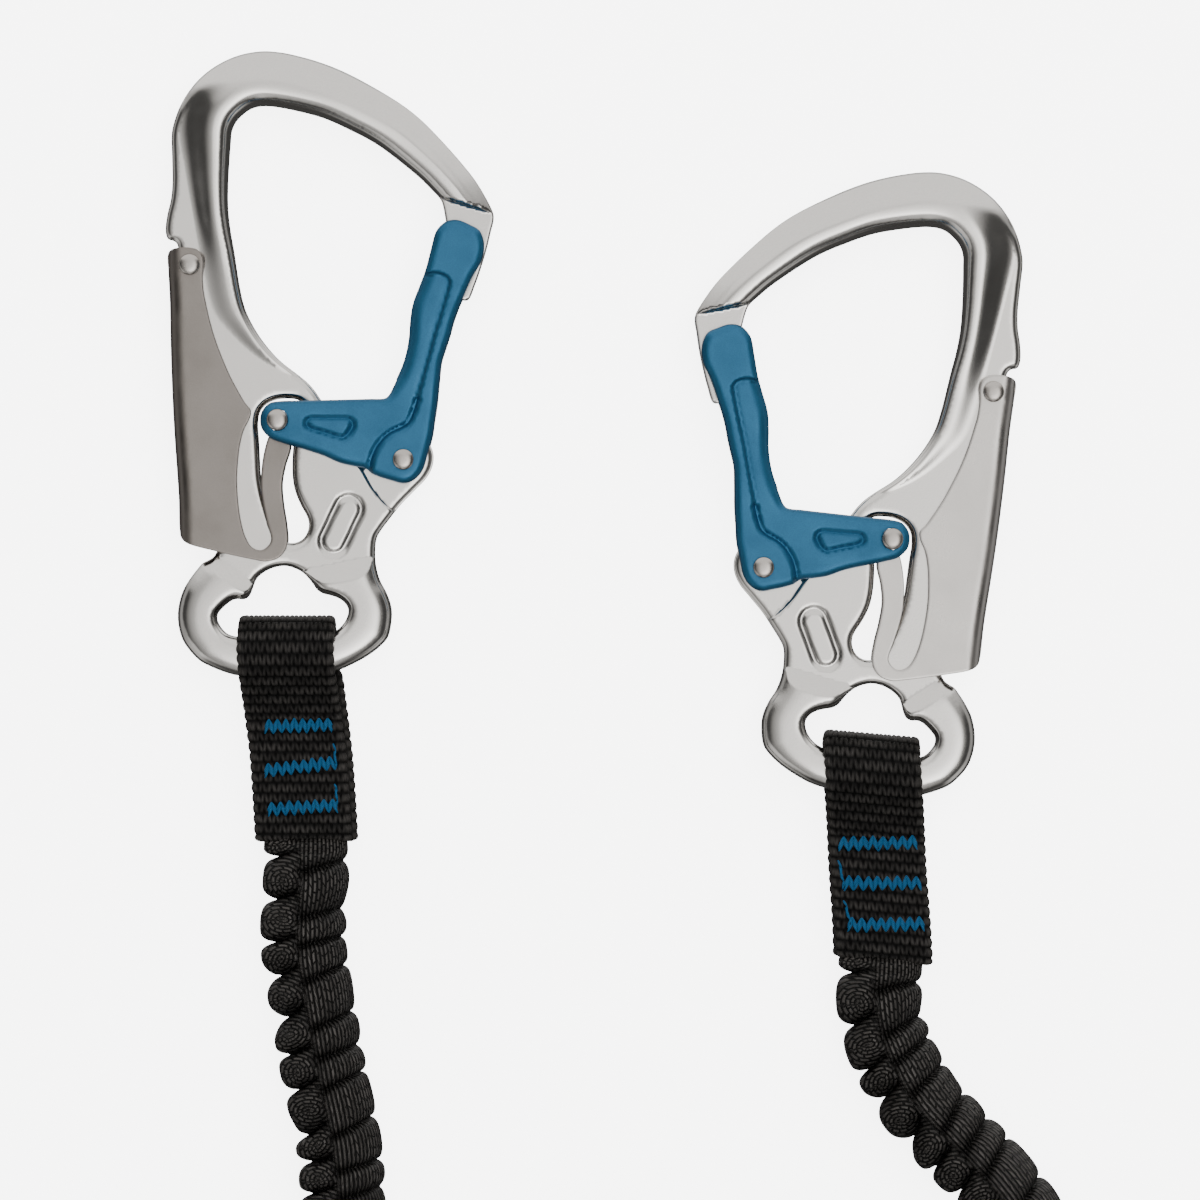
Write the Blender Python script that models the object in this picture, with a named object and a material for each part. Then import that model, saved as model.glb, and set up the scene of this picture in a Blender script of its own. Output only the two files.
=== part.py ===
"""Via ferrata lanyard lying flat: two locking connectors, each on a puckered elastic arm.

The arms run back to a sewn energy absorber with a tie-in loop for the harness.
Metres, +Z up, +Y towards the connectors. The origin is on the floor, under the middle of
the rigid pieces. Marks are pixels of the reference photograph, taken from straight above.
"""
import math

import bmesh
import bpy
from mathutils import Matrix, Vector

for leftover in list(bpy.data.objects):
    bpy.data.objects.remove(leftover, do_unlink=True)

MM = 0.001

# Connector, real sizes
CONNECTOR_LENGTH = 125.0 * MM
BAR_HALF_THICKNESS = 5.7 * MM
EYE_HALF_THICKNESS = 4.2 * MM
WEB_THICKNESS = 5.0 * MM
TONGUE_THICKNESS = 4.0 * MM
GATE_THICKNESS = 13.2 * MM
GATE_EDGE = 1.1 * MM
GATE_NECK = 9.2 * MM
LEVER_SHEET = 1.0 * MM
GATE_RIVET_RADIUS = 1.6 * MM
LOCK_PIN_RADIUS = 1.9 * MM
LEVER_RIVET_RADIUS = 1.3 * MM
RIVET_HEAD_RADIUS = 2.1 * MM
RIVET_HEAD_HEIGHT = 0.8 * MM
LOBE_RADIUS = 6.0 * MM
PIVOT_RUNNING_GAP = 0.25 * MM
SLIDE_GAP = 0.3 * MM
SEAT_GAP = 0.3 * MM

# Motion
GATE_OPENING = math.radians(42.0)
LEVER_SQUEEZE = math.radians(7.0)

# Springs inside each connector
COIL_WIRE = 0.7 * MM
COIL_RADIUS = 2.75 * MM
COIL_PITCH = 1.15 * MM
COIL_TURNS = 2.25
COIL_POCKET_FLOOR = 1.1 * MM
LEAF_THICKNESS = 0.4 * MM
LEAF_WIDTH = 4.0 * MM

# Webbing end round the eye bar
STRAP_WIDTH = 18.8 * MM
STRAP_THICKNESS = 3.1 * MM
STRAP_LENGTH = 37.0 * MM
STRAP_BAR_CLEARANCE = 0.5 * MM
STRAP_WRAP = math.radians(115.0)
LEFT_STRAP_SLANT = 0.081
LEFT_STRAP_OFFSET = 0.4 * MM
RIGHT_STRAP_SLANT = 0.148
RIGHT_STRAP_OFFSET = 1.6 * MM

# Sewing thread, raised on the webbing
THREAD_HEIGHT = 0.5 * MM
BARTACK_WIDTH = 13.8 * MM
BARTACK_DEPTH = 2.4 * MM
BARTACK_START = 13.7 * MM
BARTACK_PITCH = 8.1 * MM
BARTACK_LINK = 1.0 * MM
BARTACKS_PER_END = 3
STRAP_BARTACK_OFFSET = 0.9 * MM

# Elastic arms
ARM_DIAMETER = 17.5 * MM
ARM_VALLEY_DIAMETER = 13.6 * MM
ARM_RIB_PITCH = 7.5 * MM
ARM_BORE_DIAMETER = 8.6 * MM
ARM_CORE_DIAMETER = 8.0 * MM
RIBS_PER_CORE_POINT = 3
ARM_FLOOR_GAP = 0.1 * MM

# Energy absorber and tie-in loop
POUCH_LENGTH = 105.0 * MM
POUCH_WIDTH = 46.0 * MM
POUCH_HEIGHT = 26.0 * MM
POUCH_WALL = 1.6 * MM
POUCH_EDGE = 5.0 * MM
POUCH_END_Y = -203.0 * MM
TEAR_WIDTH = 30.0 * MM
TEAR_SHEET = 2.4 * MM
TEAR_CLEARANCE = 1.5 * MM
TEAR_LAYERS = 7
TEAR_END_SPACE = 6.0 * MM
JUNCTION_SIDE_MARGIN = 3.0 * MM
JUNCTION_THICKNESS = 6.4 * MM
JUNCTION_SEAM_MARGIN = 4.0 * MM
JUNCTION_REACH = 14.2 * MM
LOOP_WIDTH = 20.0 * MM
LOOP_SHEET = 3.0 * MM
LOOP_LENGTH = 80.0 * MM
LOOP_RADIUS = 9.5 * MM
LOOP_SEWN_LENGTH = 26.0 * MM
LOOP_WRAP = math.radians(95.0)
ZIP_LENGTH = 84.0 * MM
ZIP_WIDTH = 6.0 * MM
ZIP_TAPE = 0.8 * MM
SLIDER_LENGTH = 8.0 * MM
SLIDER_WIDTH = 7.0 * MM
SLIDER_HEIGHT = 2.6 * MM
SLIDER_PULL = 16.0 * MM
SLIDER_EDGE = 0.7 * MM

OVERRUN = 4.0 * MM

# How finely round shapes are cut, and the least turn that counts as an edge
BAR_SIDES = 10
HOLE_SIDES = 16
POCKET_SIDES = 20
NECK_SIDES = 28
RIVET_SIDES = 12
STRAP_WRAP_PARTS = 16
LOOP_WRAP_PARTS = 12
COIL_POINTS_PER_TURN = 10
ROUTE_PARTS = 12
EDGE_ANGLE = math.radians(60.0)
SMOOTH_ANGLE = math.radians(32.0)
MITRE_LIMIT = 0.5

# The photograph's scale and the places of its connectors
CONNECTOR_PIXELS = 625.0
EYE_BAR_HALF_PIXELS = 19.5
PIXEL = CONNECTOR_LENGTH / CONNECTOR_PIXELS
ORIGIN_PIXEL = (599.0, 1137.5)
EYE_BAR_MARK = (288.0, 655.5)
RIGHT_EYE_BAR_PIXEL = (861.5, 772.5)
RIGHT_TURN = math.radians(-5.0)

GATE_RIVET_MARK = (403.8, 459.8)
LOCK_PIN_MARK = (278.3, 420.3)
LEVER_RIVET_MARK = (190.3, 265.0)

# Forged bar: outer mark, inner mark, share of the full half thickness
BAR_MARKS_AND_THICKNESS_SHARES = (
    ((491.5, 214.5), (441.0, 199.5), 0.92),
    ((481.0, 189.0), (433.0, 191.0), 0.96),
    ((461.0, 162.5), (417.0, 175.5), 1.0),
    ((430.0, 128.5), (393.0, 155.5), 1.0),
    ((400.0, 103.5), (371.0, 140.0), 1.0),
    ((350.0, 75.0), (332.0, 121.5), 1.0),
    ((300.0, 57.0), (292.0, 110.0), 1.0),
    ((263.0, 51.0), (262.0, 106.2), 1.0),
    ((230.0, 58.5), (247.0, 111.5), 1.0),
    ((200.0, 78.5), (236.0, 122.5), 1.0),
    ((182.0, 103.0), (232.0, 134.0), 1.0),
    ((172.5, 133.0), (231.0, 148.0), 1.0),
    ((172.0, 168.0), (229.5, 168.0), 1.0),
    ((171.0, 201.0), (228.6, 200.0), 1.0),
    ((166.5, 220.0), (229.5, 220.0), 1.0),
    ((168.0, 238.0), (232.0, 237.0), 0.98),
    ((206.0, 247.0), (234.0, 247.0), 0.97),
    ((210.0, 268.0), (236.7, 266.0), 0.94),
    ((213.0, 292.0), (240.7, 290.0), 0.88),
    ((220.0, 314.0), (246.5, 311.0), 0.82),
    ((234.0, 337.0), (259.0, 335.0), 0.74),
    ((256.0, 358.0), (275.5, 355.5), 0.64),
    ((281.0, 373.0), (290.5, 369.0), 0.52),
    ((296.0, 380.0), (301.0, 376.5), 0.44),
)

# Round bar of the eye, from the left end of the web round to its right end
EYE_MARKS_AND_THICKNESS_SHARES = (
    ((212.0, 557.0), (247.0, 583.0), 0.66),
    ((199.0, 568.0), (239.0, 597.0), 0.94),
    ((187.0, 584.0), (226.0, 604.0), 1.0),
    ((179.5, 602.0), (218.5, 612.5), 1.0),
    ((179.0, 622.0), (218.0, 621.0), 1.0),
    ((186.0, 644.0), (219.5, 627.5), 1.0),
    ((203.0, 662.5), (223.5, 633.5), 0.97),
    ((220.0, 671.0), (232.0, 637.0), 0.94),
    ((242.0, 675.0), (243.0, 637.0), 0.93),
    ((265.0, 675.0), (265.0, 637.0), 0.93),
    ((288.0, 675.0), (288.0, 637.0), 0.93),
    ((310.0, 675.0), (310.0, 637.0), 0.93),
    ((338.0, 672.0), (338.0, 637.0), 0.93),
    ((357.0, 662.0), (345.0, 629.5), 0.96),
    ((375.0, 650.0), (348.5, 620.0), 1.0),
    ((389.0, 635.0), (349.0, 613.0), 1.0),
    ((392.0, 614.0), (347.0, 605.5), 1.0),
    ((387.0, 595.0), (341.0, 600.0), 1.0),
    ((379.0, 577.0), (331.0, 596.5), 0.9),
    ((375.5, 555.0), (322.0, 592.0), 0.62),
)

# The flat web, from the notch down the spine to the lobe, then back up the inner side
WEB_OUTER_MARKS = (
    (178.0, 238.0), (181.0, 275.0), (188.0, 319.0), (197.0, 370.0), (203.0, 410.0),
    (216.0, 470.0), (229.5, 535.0), (219.0, 549.0), (205.0, 564.0), (196.0, 581.0),
    (226.0, 598.5), (242.0, 599.5), (251.0, 593.0), (256.0, 578.0), (270.0, 569.5),
    (284.0, 566.0), (302.0, 571.0), (314.0, 584.0), (323.0, 594.0), (338.0, 598.0),
    (376.0, 579.0), (374.0, 560.0), (377.0, 536.0), (388.0, 521.0), (404.0, 501.5),
)
WEB_INNER_MARKS = (
    (356.0, 433.0), (338.0, 420.0), (320.5, 399.0), (303.0, 379.5), (287.0, 370.0),
    (262.0, 345.0), (244.0, 318.0), (235.0, 280.0), (224.0, 236.0),
)
LOBE_START = math.radians(-62.0)
LOBE_END = math.radians(124.0)
LOBE_PARTS = 14

# The body's slot for the lock pin: its right edge as seen, its left edge an arc
SLOT_RIGHT_MARKS = (
    (296.0, 404.0), (294.0, 440.0), (294.0, 480.0), (301.0, 505.0), (309.0, 522.0),
    (308.0, 533.0), (300.0, 542.5),
)
SLOT_LEFT_STEPS = 7
SLOT_END_MARKS = ((285.0, 543.0), (276.0, 534.0))

TONGUE_MARKS = (
    (446.0, 196.0), (486.0, 206.0), (491.0, 220.0), (490.0, 234.0), (486.0, 257.0),
    (480.0, 270.0), (475.0, 285.0), (468.0, 300.0), (456.0, 296.0), (449.0, 250.0),
)

GATE_MARKS = (
    (278.0, 401.5), (388.7, 398.5), (396.0, 381.0), (403.5, 365.0), (408.5, 340.0),
    (411.0, 315.0), (420.0, 286.0), (431.0, 251.0), (436.5, 232.0), (441.5, 225.5),
    (449.0, 221.5), (460.0, 221.5), (472.0, 226.5), (481.0, 233.0), (484.5, 246.0),
    (481.0, 263.0), (471.0, 281.5), (459.0, 308.0), (450.5, 335.0), (442.0, 362.0),
    (438.0, 400.0), (435.0, 424.0), (431.0, 446.0), (424.5, 468.0), (416.0, 479.5),
    (403.0, 483.5), (389.0, 480.0), (366.0, 469.0), (340.0, 463.0), (322.0, 455.0),
    (284.0, 443.5), (267.0, 435.5), (261.0, 424.0), (262.5, 412.0), (269.0, 404.5),
)

# The gate's two gaps: over the web and lever in its arm, over the tongue in its head
GATE_ARM_GAP_MARKS = ((240.0, 380.0), (398.0, 380.0), (398.0, 500.0), (240.0, 500.0))
GATE_HEAD_GAP_MARKS = (
    (425.0, 190.0), (520.0, 190.0), (520.0, 305.0), (452.0, 305.0), (444.0, 250.0),
)

LEVER_MARKS = (
    (168.0, 256.0), (172.0, 250.0), (181.0, 248.0), (194.0, 249.0), (201.0, 253.5),
    (204.0, 262.0), (203.0, 276.0), (207.0, 306.0), (217.0, 343.0), (231.0, 377.0),
    (246.0, 404.0),
)
SLOT_IN_LEVER_LEFT_MARKS = (
    (252.0, 416.0), (243.5, 432.0), (239.0, 461.0), (237.5, 490.0), (240.0, 519.0),
    (244.0, 537.0), (251.5, 548.0), (262.0, 551.0),
)
FINGER_OUTER_MARKS = (
    (291.0, 447.0), (285.5, 466.0), (282.5, 484.0), (284.0, 505.0), (287.0, 524.0),
    (288.0, 543.0), (284.0, 553.0), (277.0, 559.0), (266.0, 561.5), (256.0, 560.0),
)
LEVER_FOLD_MARKS = (
    (217.0, 551.5), (187.0, 543.0), (180.5, 536.0), (179.0, 498.0), (175.0, 440.0),
    (173.0, 405.0), (171.0, 351.0), (169.5, 285.0),
)
LEVER_OPEN_SIDE_MARKS = ((340.0, 200.0), (340.0, 600.0), (180.0, 600.0))
LEVER_FOLD_TOP_MARK = (168.0, 200.0)
FINGER_PATH_STEPS = (1, 2, 3, 4)
PATH_PARTS = 5

LEAF_MARKS = (
    (177.8, 300.0), (183.0, 332.0), (191.0, 365.0), (196.0, 392.0), (193.0, 418.0),
    (188.0, 445.0), (186.0, 465.0),
)

LEFT_ARM_ROUTE = (
    (-0.0586, 0.0590), (-0.0586, 0.0510), (-0.0591, 0.0430), (-0.0588, 0.0355),
    (-0.0575, 0.0280), (-0.0562, 0.0200), (-0.0548, 0.0120), (-0.0530, 0.0040),
    (-0.0516, -0.0050), (-0.0512, -0.0200), (-0.0540, -0.0450), (-0.0605, -0.0750),
    (-0.0680, -0.1050), (-0.0745, -0.1400), (-0.0785, -0.1750), (-0.0805, -0.2100),
    (-0.0810, -0.2450), (-0.0810, -0.2800), (-0.0808, -0.3120), (-0.0770, -0.3330),
    (-0.0660, -0.3500), (-0.0457, -0.3585), (-0.0255, -0.3500), (-0.0145, -0.3330),
    (-0.0107, -0.3120), (-0.0105, -0.2800), (-0.0105, -0.2500), (-0.0105, -0.2340),
    (-0.0105, -0.2175),
)
RIGHT_ARM_ROUTE = (
    (0.0563, 0.0352), (0.0559, 0.0290), (0.0571, 0.0210), (0.0603, 0.0135),
    (0.0642, 0.0070), (0.0692, 0.0015), (0.0745, -0.0040), (0.0800, -0.0100),
    (0.0855, -0.0180), (0.0900, -0.0300), (0.0930, -0.0480), (0.0940, -0.0700),
    (0.0930, -0.0950), (0.0905, -0.1250), (0.0870, -0.1550), (0.0838, -0.1850),
    (0.0818, -0.2150), (0.0810, -0.2500), (0.0810, -0.2850), (0.0808, -0.3180),
    (0.0770, -0.3390), (0.0660, -0.3560), (0.0457, -0.3645), (0.0255, -0.3560),
    (0.0145, -0.3390), (0.0107, -0.3180), (0.0105, -0.2850), (0.0105, -0.2520),
    (0.0105, -0.2340), (0.0105, -0.2175),
)

# Heights and half thicknesses that follow
HALF_WEB = WEB_THICKNESS / 2
HALF_LEVER_INSIDE = HALF_WEB + SLIDE_GAP
HALF_LEVER = HALF_LEVER_INSIDE + LEVER_SHEET
HALF_GATE = GATE_THICKNESS / 2
HALF_ARM_GAP = HALF_LEVER + SLIDE_GAP
HALF_NECK_GAP = HALF_WEB + SLIDE_GAP
EYE_BAR_RADIUS = EYE_BAR_HALF_PIXELS * PIXEL
STRAP_INNER_RADIUS = max(EYE_BAR_RADIUS, EYE_HALF_THICKNESS) + STRAP_BAR_CLEARANCE
STRAP_LAYER_GAP = SEAT_GAP
CONNECTOR_HEIGHT = max(
    HALF_GATE + SEAT_GAP + RIVET_HEAD_HEIGHT, STRAP_INNER_RADIUS + STRAP_THICKNESS
) + ARM_FLOOR_GAP
ARM_HEIGHT = ARM_DIAMETER / 2 + ARM_FLOOR_GAP
JUNCTION_HEIGHT = ARM_HEIGHT
JUNCTION_WIDTH = POUCH_WIDTH - 2 * JUNCTION_SIDE_MARGIN
JUNCTION_SEAM_WIDTH = JUNCTION_WIDTH - 2 * JUNCTION_SEAM_MARGIN
LEVER_PER_GATE = LEVER_SQUEEZE / GATE_OPENING


def mark(pixel):
    """A mark of the left connector, in its own frame: origin on the eye bar's axis."""
    return Vector(((pixel[0] - EYE_BAR_MARK[0]) * PIXEL, (EYE_BAR_MARK[1] - pixel[1]) * PIXEL))


def marks(pixels):
    return [mark(pixel) for pixel in pixels]


def floor_place(pixel):
    """A pixel of the photograph as a place on the floor."""
    return Vector(
        ((pixel[0] - ORIGIN_PIXEL[0]) * PIXEL, (ORIGIN_PIXEL[1] - pixel[1]) * PIXEL, 0.0)
    )


GATE_RIVET = mark(GATE_RIVET_MARK)
LOCK_PIN = mark(LOCK_PIN_MARK)
LEVER_RIVET = mark(LEVER_RIVET_MARK)


def turned(point, centre, angle):
    return centre + Matrix.Rotation(angle, 2) @ (point - centre)


def arc(centre, radius, start, end, parts):
    """Points from the angle start to the angle end, both included."""
    angles = [start + (end - start) * step / parts for step in range(parts + 1)]
    return [centre + Vector((math.cos(a), math.sin(a))) * radius for a in angles]


def angle_of(point, centre):
    offset = point - centre
    return math.atan2(offset.y, offset.x)


# Solids


def solid(name, corners, faces):
    """One closed body from corners and faces, with its faces pointing out."""
    mesh = bpy.data.meshes.new(name)
    mesh.from_pydata([tuple(corner) for corner in corners], [], faces)
    shape = bmesh.new()
    shape.from_mesh(mesh)
    bmesh.ops.recalc_face_normals(shape, faces=shape.faces[:])
    shape.to_mesh(mesh)
    shape.free()
    piece = bpy.data.objects.new(name, mesh)
    bpy.context.scene.collection.objects.link(piece)
    return piece


def prism(name, outline, low, high, lift=lambda x, y, height: (x, y, height)):
    """An outline pulled from low to high; lift says which way is up."""
    count = len(outline)
    corners = [lift(x, y, low) for x, y in outline] + [lift(x, y, high) for x, y in outline]
    sides = [(i, (i + 1) % count, (i + 1) % count + count, i + count) for i in range(count)]
    return solid(name, corners, [tuple(range(count)), tuple(range(count, 2 * count))] + sides)


def ringed(name, rings):
    """A closed tube through rings of as many corners each."""
    count = len(rings[0])
    corners = [corner for ring in rings for corner in ring]
    faces = [tuple(range(count)), tuple(range(len(corners) - count, len(corners)))]
    for first in range(0, len(corners) - count, count):
        for i in range(count):
            after = (i + 1) % count
            faces.append((first + i, first + after, first + count + after, first + count + i))
    return solid(name, corners, faces)


def lathe(name, centre, profile, sides):
    """A profile of (height, radius) turned about the Z axis through centre."""
    rings = []
    for height, radius in profile:
        circle = arc(centre, radius, 0.0, math.tau * (sides - 1) / sides, sides - 1)
        rings.append([(x, y, height) for x, y in circle])
    return ringed(name, rings)


def ribbon(points, thickness):
    """The outline of a strip of even thickness along points in a plane."""
    left, right = [], []
    for index, point in enumerate(points):
        before = (point - points[index - 1]).normalized() if index else None
        after = (points[index + 1] - point).normalized() if index + 1 < len(points) else None
        heading = ((before or after) + (after or before)).normalized()
        normal = Vector((-heading.y, heading.x))
        along = before or after
        reach = thickness / 2 / max(heading.dot(along), MITRE_LIMIT)
        left.append(point + normal * reach)
        right.append(point - normal * reach)
    return left + right[::-1]


def settle(piece):
    """Makes what the piece's modifiers give its own mesh."""
    evaluated = piece.evaluated_get(bpy.context.evaluated_depsgraph_get())
    mesh = bpy.data.meshes.new_from_object(evaluated)
    piece.modifiers.clear()
    piece.data = mesh


def combine(piece, tool, operation):
    modifier = piece.modifiers.new(tool.name, "BOOLEAN")
    modifier.operation = operation
    modifier.solver = "EXACT"
    modifier.object = tool
    settle(piece)
    bpy.data.objects.remove(tool, do_unlink=True)


def bevel(piece, width, segments):
    modifier = piece.modifiers.new("edge", "BEVEL")
    modifier.width = width
    modifier.segments = segments
    modifier.limit_method = "ANGLE"
    modifier.angle_limit = EDGE_ANGLE
    settle(piece)


def drill(piece, centre, radius, low, high, sides=HOLE_SIDES):
    combine(piece, lathe("drill", centre, [(low, radius), (high, radius)], sides), "DIFFERENCE")


def material(name, colour, roughness, metallic):
    finish = bpy.data.materials.new(name)
    finish.use_nodes = True
    shader = finish.node_tree.nodes["Principled BSDF"]
    shader.inputs["Base Color"].default_value = (*colour, 1.0)
    shader.inputs["Roughness"].default_value = roughness
    shader.inputs["Metallic"].default_value = metallic
    return finish


POLISHED_ALUMINIUM = material("polished_aluminium", (0.62, 0.60, 0.57), 0.28, 1.0)
BLUE_ANODISED = material("blue_anodised", (0.04, 0.20, 0.36), 0.35, 0.9)
STAINLESS_SHEET = material("stainless_sheet", (0.58, 0.56, 0.54), 0.32, 1.0)
RIVET_STEEL = material("rivet_steel", (0.50, 0.47, 0.44), 0.3, 1.0)
SPRING_STEEL = material("spring_steel", (0.35, 0.35, 0.36), 0.35, 1.0)
BLACK_WEBBING = material("black_webbing", (0.012, 0.011, 0.010), 0.85, 0.0)
BLUE_THREAD = material("blue_thread", (0.006, 0.07, 0.22), 0.6, 0.0)
ELASTIC_RUBBER = material("elastic_rubber", (0.45, 0.42, 0.36), 0.7, 0.0)
POUCH_FABRIC = material("pouch_fabric", (0.02, 0.02, 0.022), 0.8, 0.0)
ZIP_PLASTIC = material("zip_plastic", (0.015, 0.015, 0.016), 0.45, 0.0)


# Connector pieces, each in the connector's own frame


def forged_bar(name, marked_shares, half_thickness):
    """A bar with an oval section, from its outer and inner marks."""
    rings = []
    for outer, inner, share in marked_shares:
        middle = (mark(outer) + mark(inner)) / 2
        reach = (mark(outer) - mark(inner)) / 2
        ring = []
        for step in range(BAR_SIDES):
            turn = math.tau * (step + 0.5) / BAR_SIDES
            across = middle + reach * (math.cos(turn) / math.cos(math.pi / BAR_SIDES))
            ring.append((across.x, across.y, half_thickness * share * math.sin(turn)))
        rings.append(ring)
    return ringed(name, rings)


def connector_body():
    body = forged_bar("body", BAR_MARKS_AND_THICKNESS_SHARES, BAR_HALF_THICKNESS)
    eye = forged_bar("eye", EYE_MARKS_AND_THICKNESS_SHARES, EYE_HALF_THICKNESS)
    combine(body, eye, "UNION")
    lobe = arc(GATE_RIVET, LOBE_RADIUS, LOBE_START, LOBE_END, LOBE_PARTS)
    web = marks(WEB_OUTER_MARKS) + lobe + marks(WEB_INNER_MARKS)
    combine(body, prism("web", web, -HALF_WEB, HALF_WEB), "UNION")
    half_tongue = TONGUE_THICKNESS / 2
    combine(body, prism("tongue", marks(TONGUE_MARKS), -half_tongue, half_tongue), "UNION")
    combine(body, prism("pin_slot", body_slot(), -OVERRUN, OVERRUN), "DIFFERENCE")
    drill(body, GATE_RIVET, GATE_RIVET_RADIUS + PIVOT_RUNNING_GAP, -OVERRUN, OVERRUN)
    drill(body, LEVER_RIVET, LEVER_RIVET_RADIUS + PIVOT_RUNNING_GAP, -OVERRUN, OVERRUN)
    pocket_radius = COIL_RADIUS + COIL_WIRE / 2 + SEAT_GAP
    drill(body, GATE_RIVET, pocket_radius, COIL_POCKET_FLOOR - HALF_WEB, OVERRUN, POCKET_SIDES)
    return body


def body_slot():
    """The slot that the lock pin runs down as the gate opens."""
    radius = (LOCK_PIN - GATE_RIVET).length + LOCK_PIN_RADIUS + SEAT_GAP
    start = angle_of(LOCK_PIN, GATE_RIVET)
    reach = (LOCK_PIN_RADIUS + SLIDE_GAP) / radius
    left = arc(GATE_RIVET, radius, start - reach * 2, start + GATE_OPENING, SLOT_LEFT_STEPS)
    return left + marks(SLOT_END_MARKS)[:1] + marks(SLOT_RIGHT_MARKS)[::-1]


def gate():
    piece = prism("gate", marks(GATE_MARKS), -HALF_GATE, HALF_GATE)
    bevel(piece, GATE_EDGE, 2)
    arm_gap = prism("arm_gap", marks(GATE_ARM_GAP_MARKS), -HALF_ARM_GAP, HALF_ARM_GAP)
    neck = [(-HALF_GATE, GATE_NECK), (HALF_GATE, GATE_NECK)]
    combine(arm_gap, lathe("neck", GATE_RIVET, neck, NECK_SIDES), "DIFFERENCE")
    combine(piece, arm_gap, "DIFFERENCE")
    neck_gap = [(-HALF_NECK_GAP, GATE_NECK + SLIDE_GAP), (HALF_NECK_GAP, GATE_NECK + SLIDE_GAP)]
    combine(piece, lathe("neck_gap", GATE_RIVET, neck_gap, NECK_SIDES), "DIFFERENCE")
    half_head = TONGUE_THICKNESS / 2 + SLIDE_GAP
    combine(piece, prism("head_gap", marks(GATE_HEAD_GAP_MARKS), -half_head, half_head), "DIFFERENCE")
    drill(piece, GATE_RIVET, GATE_RIVET_RADIUS + PIVOT_RUNNING_GAP, -GATE_THICKNESS, GATE_THICKNESS)
    drill(piece, LOCK_PIN, LOCK_PIN_RADIUS + SEAT_GAP, -GATE_THICKNESS, GATE_THICKNESS)
    return piece


def pin_path_in_lever(parts):
    """Where the lock pin passes as the gate opens, seen from the moving lever."""
    places = []
    for step in range(parts + 1):
        opened = GATE_OPENING * step / parts
        pin = turned(LOCK_PIN, GATE_RIVET, opened)
        places.append(turned(pin, LEVER_RIVET, -opened * LEVER_PER_GATE))
    return places


def palm_lever():
    """A folded sheet: two cheeks with a slot and a finger, joined along the spine."""
    path = pin_path_in_lever(PATH_PARTS)
    clear = LOCK_PIN_RADIUS + SEAT_GAP
    finger_inner = []
    for step in FINGER_PATH_STEPS:
        heading = (path[step + 1] - path[step - 1]).normalized()
        finger_inner.append(path[step] + Vector((-heading.y, heading.x)) * clear)
    outline = marks(LEVER_MARKS + SLOT_IN_LEVER_LEFT_MARKS) + finger_inner[::-1]
    outline += marks(FINGER_OUTER_MARKS + LEVER_FOLD_MARKS)
    lever = prism("lever", outline, -HALF_LEVER, HALF_LEVER)
    inner_fold = marks(LEVER_FOLD_MARKS[2:] + (LEVER_FOLD_TOP_MARK,))
    inside = [point + Vector((LEVER_SHEET, 0.0)) for point in inner_fold] + marks(LEVER_OPEN_SIDE_MARKS)
    cutter = prism("inside", inside, -HALF_LEVER_INSIDE, HALF_LEVER_INSIDE)
    combine(lever, cutter, "DIFFERENCE")
    drill(lever, LEVER_RIVET, LEVER_RIVET_RADIUS + PIVOT_RUNNING_GAP, -HALF_GATE, HALF_GATE)
    return lever


def rivet(name, centre, radius, half_length):
    """A steel pin with a domed head at each end, the heads just clear of what they hold."""
    seat = half_length + SEAT_GAP
    shares = ((0.0, 1.0), (0.35, 1.0), (0.75, 0.72), (1.0, 0.3))
    head = [(seat + RIVET_HEAD_HEIGHT * up, RIVET_HEAD_RADIUS * out) for up, out in shares]
    upper = [(seat, radius)] + head
    lower = [(-height, out) for height, out in reversed(upper)]
    return lathe(name, centre, lower + upper, RIVET_SIDES)


def gate_spring():
    """A small torsion coil round the gate's rivet, in the body's pocket."""
    spring = bpy.data.curves.new("coil", "CURVE")
    spring.dimensions = "3D"
    spring.bevel_depth = COIL_WIRE / 2
    spring.bevel_resolution = 1
    spring.use_fill_caps = True
    count = int(COIL_TURNS * COIL_POINTS_PER_TURN) + 1
    bottom = COIL_POCKET_FLOOR - HALF_WEB + SEAT_GAP / 2 + COIL_WIRE / 2
    line = spring.splines.new("POLY")
    line.points.add(count - 1)
    for step, point in enumerate(line.points):
        turns = step / COIL_POINTS_PER_TURN
        place = GATE_RIVET + Matrix.Rotation(math.tau * turns, 2) @ Vector((COIL_RADIUS, 0.0))
        point.co = (place.x, place.y, bottom + COIL_PITCH * turns, 1.0)
    return made_mesh("gate_spring", spring)


def made_mesh(name, curve):
    """A curve object's tube as a mesh object, its caps joined on."""
    holder = bpy.data.objects.new(name, curve)
    bpy.context.scene.collection.objects.link(holder)
    evaluated = holder.evaluated_get(bpy.context.evaluated_depsgraph_get())
    mesh = bpy.data.meshes.new_from_object(evaluated)
    bpy.data.objects.remove(holder, do_unlink=True)
    shape = bmesh.new()
    shape.from_mesh(mesh)
    bmesh.ops.remove_doubles(shape, verts=shape.verts[:], dist=0.01 * MM)
    bmesh.ops.recalc_face_normals(shape, faces=shape.faces[:])
    shape.to_mesh(mesh)
    shape.free()
    piece = bpy.data.objects.new(name, mesh)
    bpy.context.scene.collection.objects.link(piece)
    return piece


def lever_spring():
    """A bowed leaf between the lever's fold and the edge of the web."""
    outline = ribbon(marks(LEAF_MARKS), LEAF_THICKNESS)
    return prism("lever_spring", outline, -LEAF_WIDTH / 2, LEAF_WIDTH / 2)


def taken(piece):
    """A piece's mesh, the object that held it gone."""
    mesh = piece.data
    bpy.data.objects.remove(piece, do_unlink=True)
    return mesh


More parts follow.
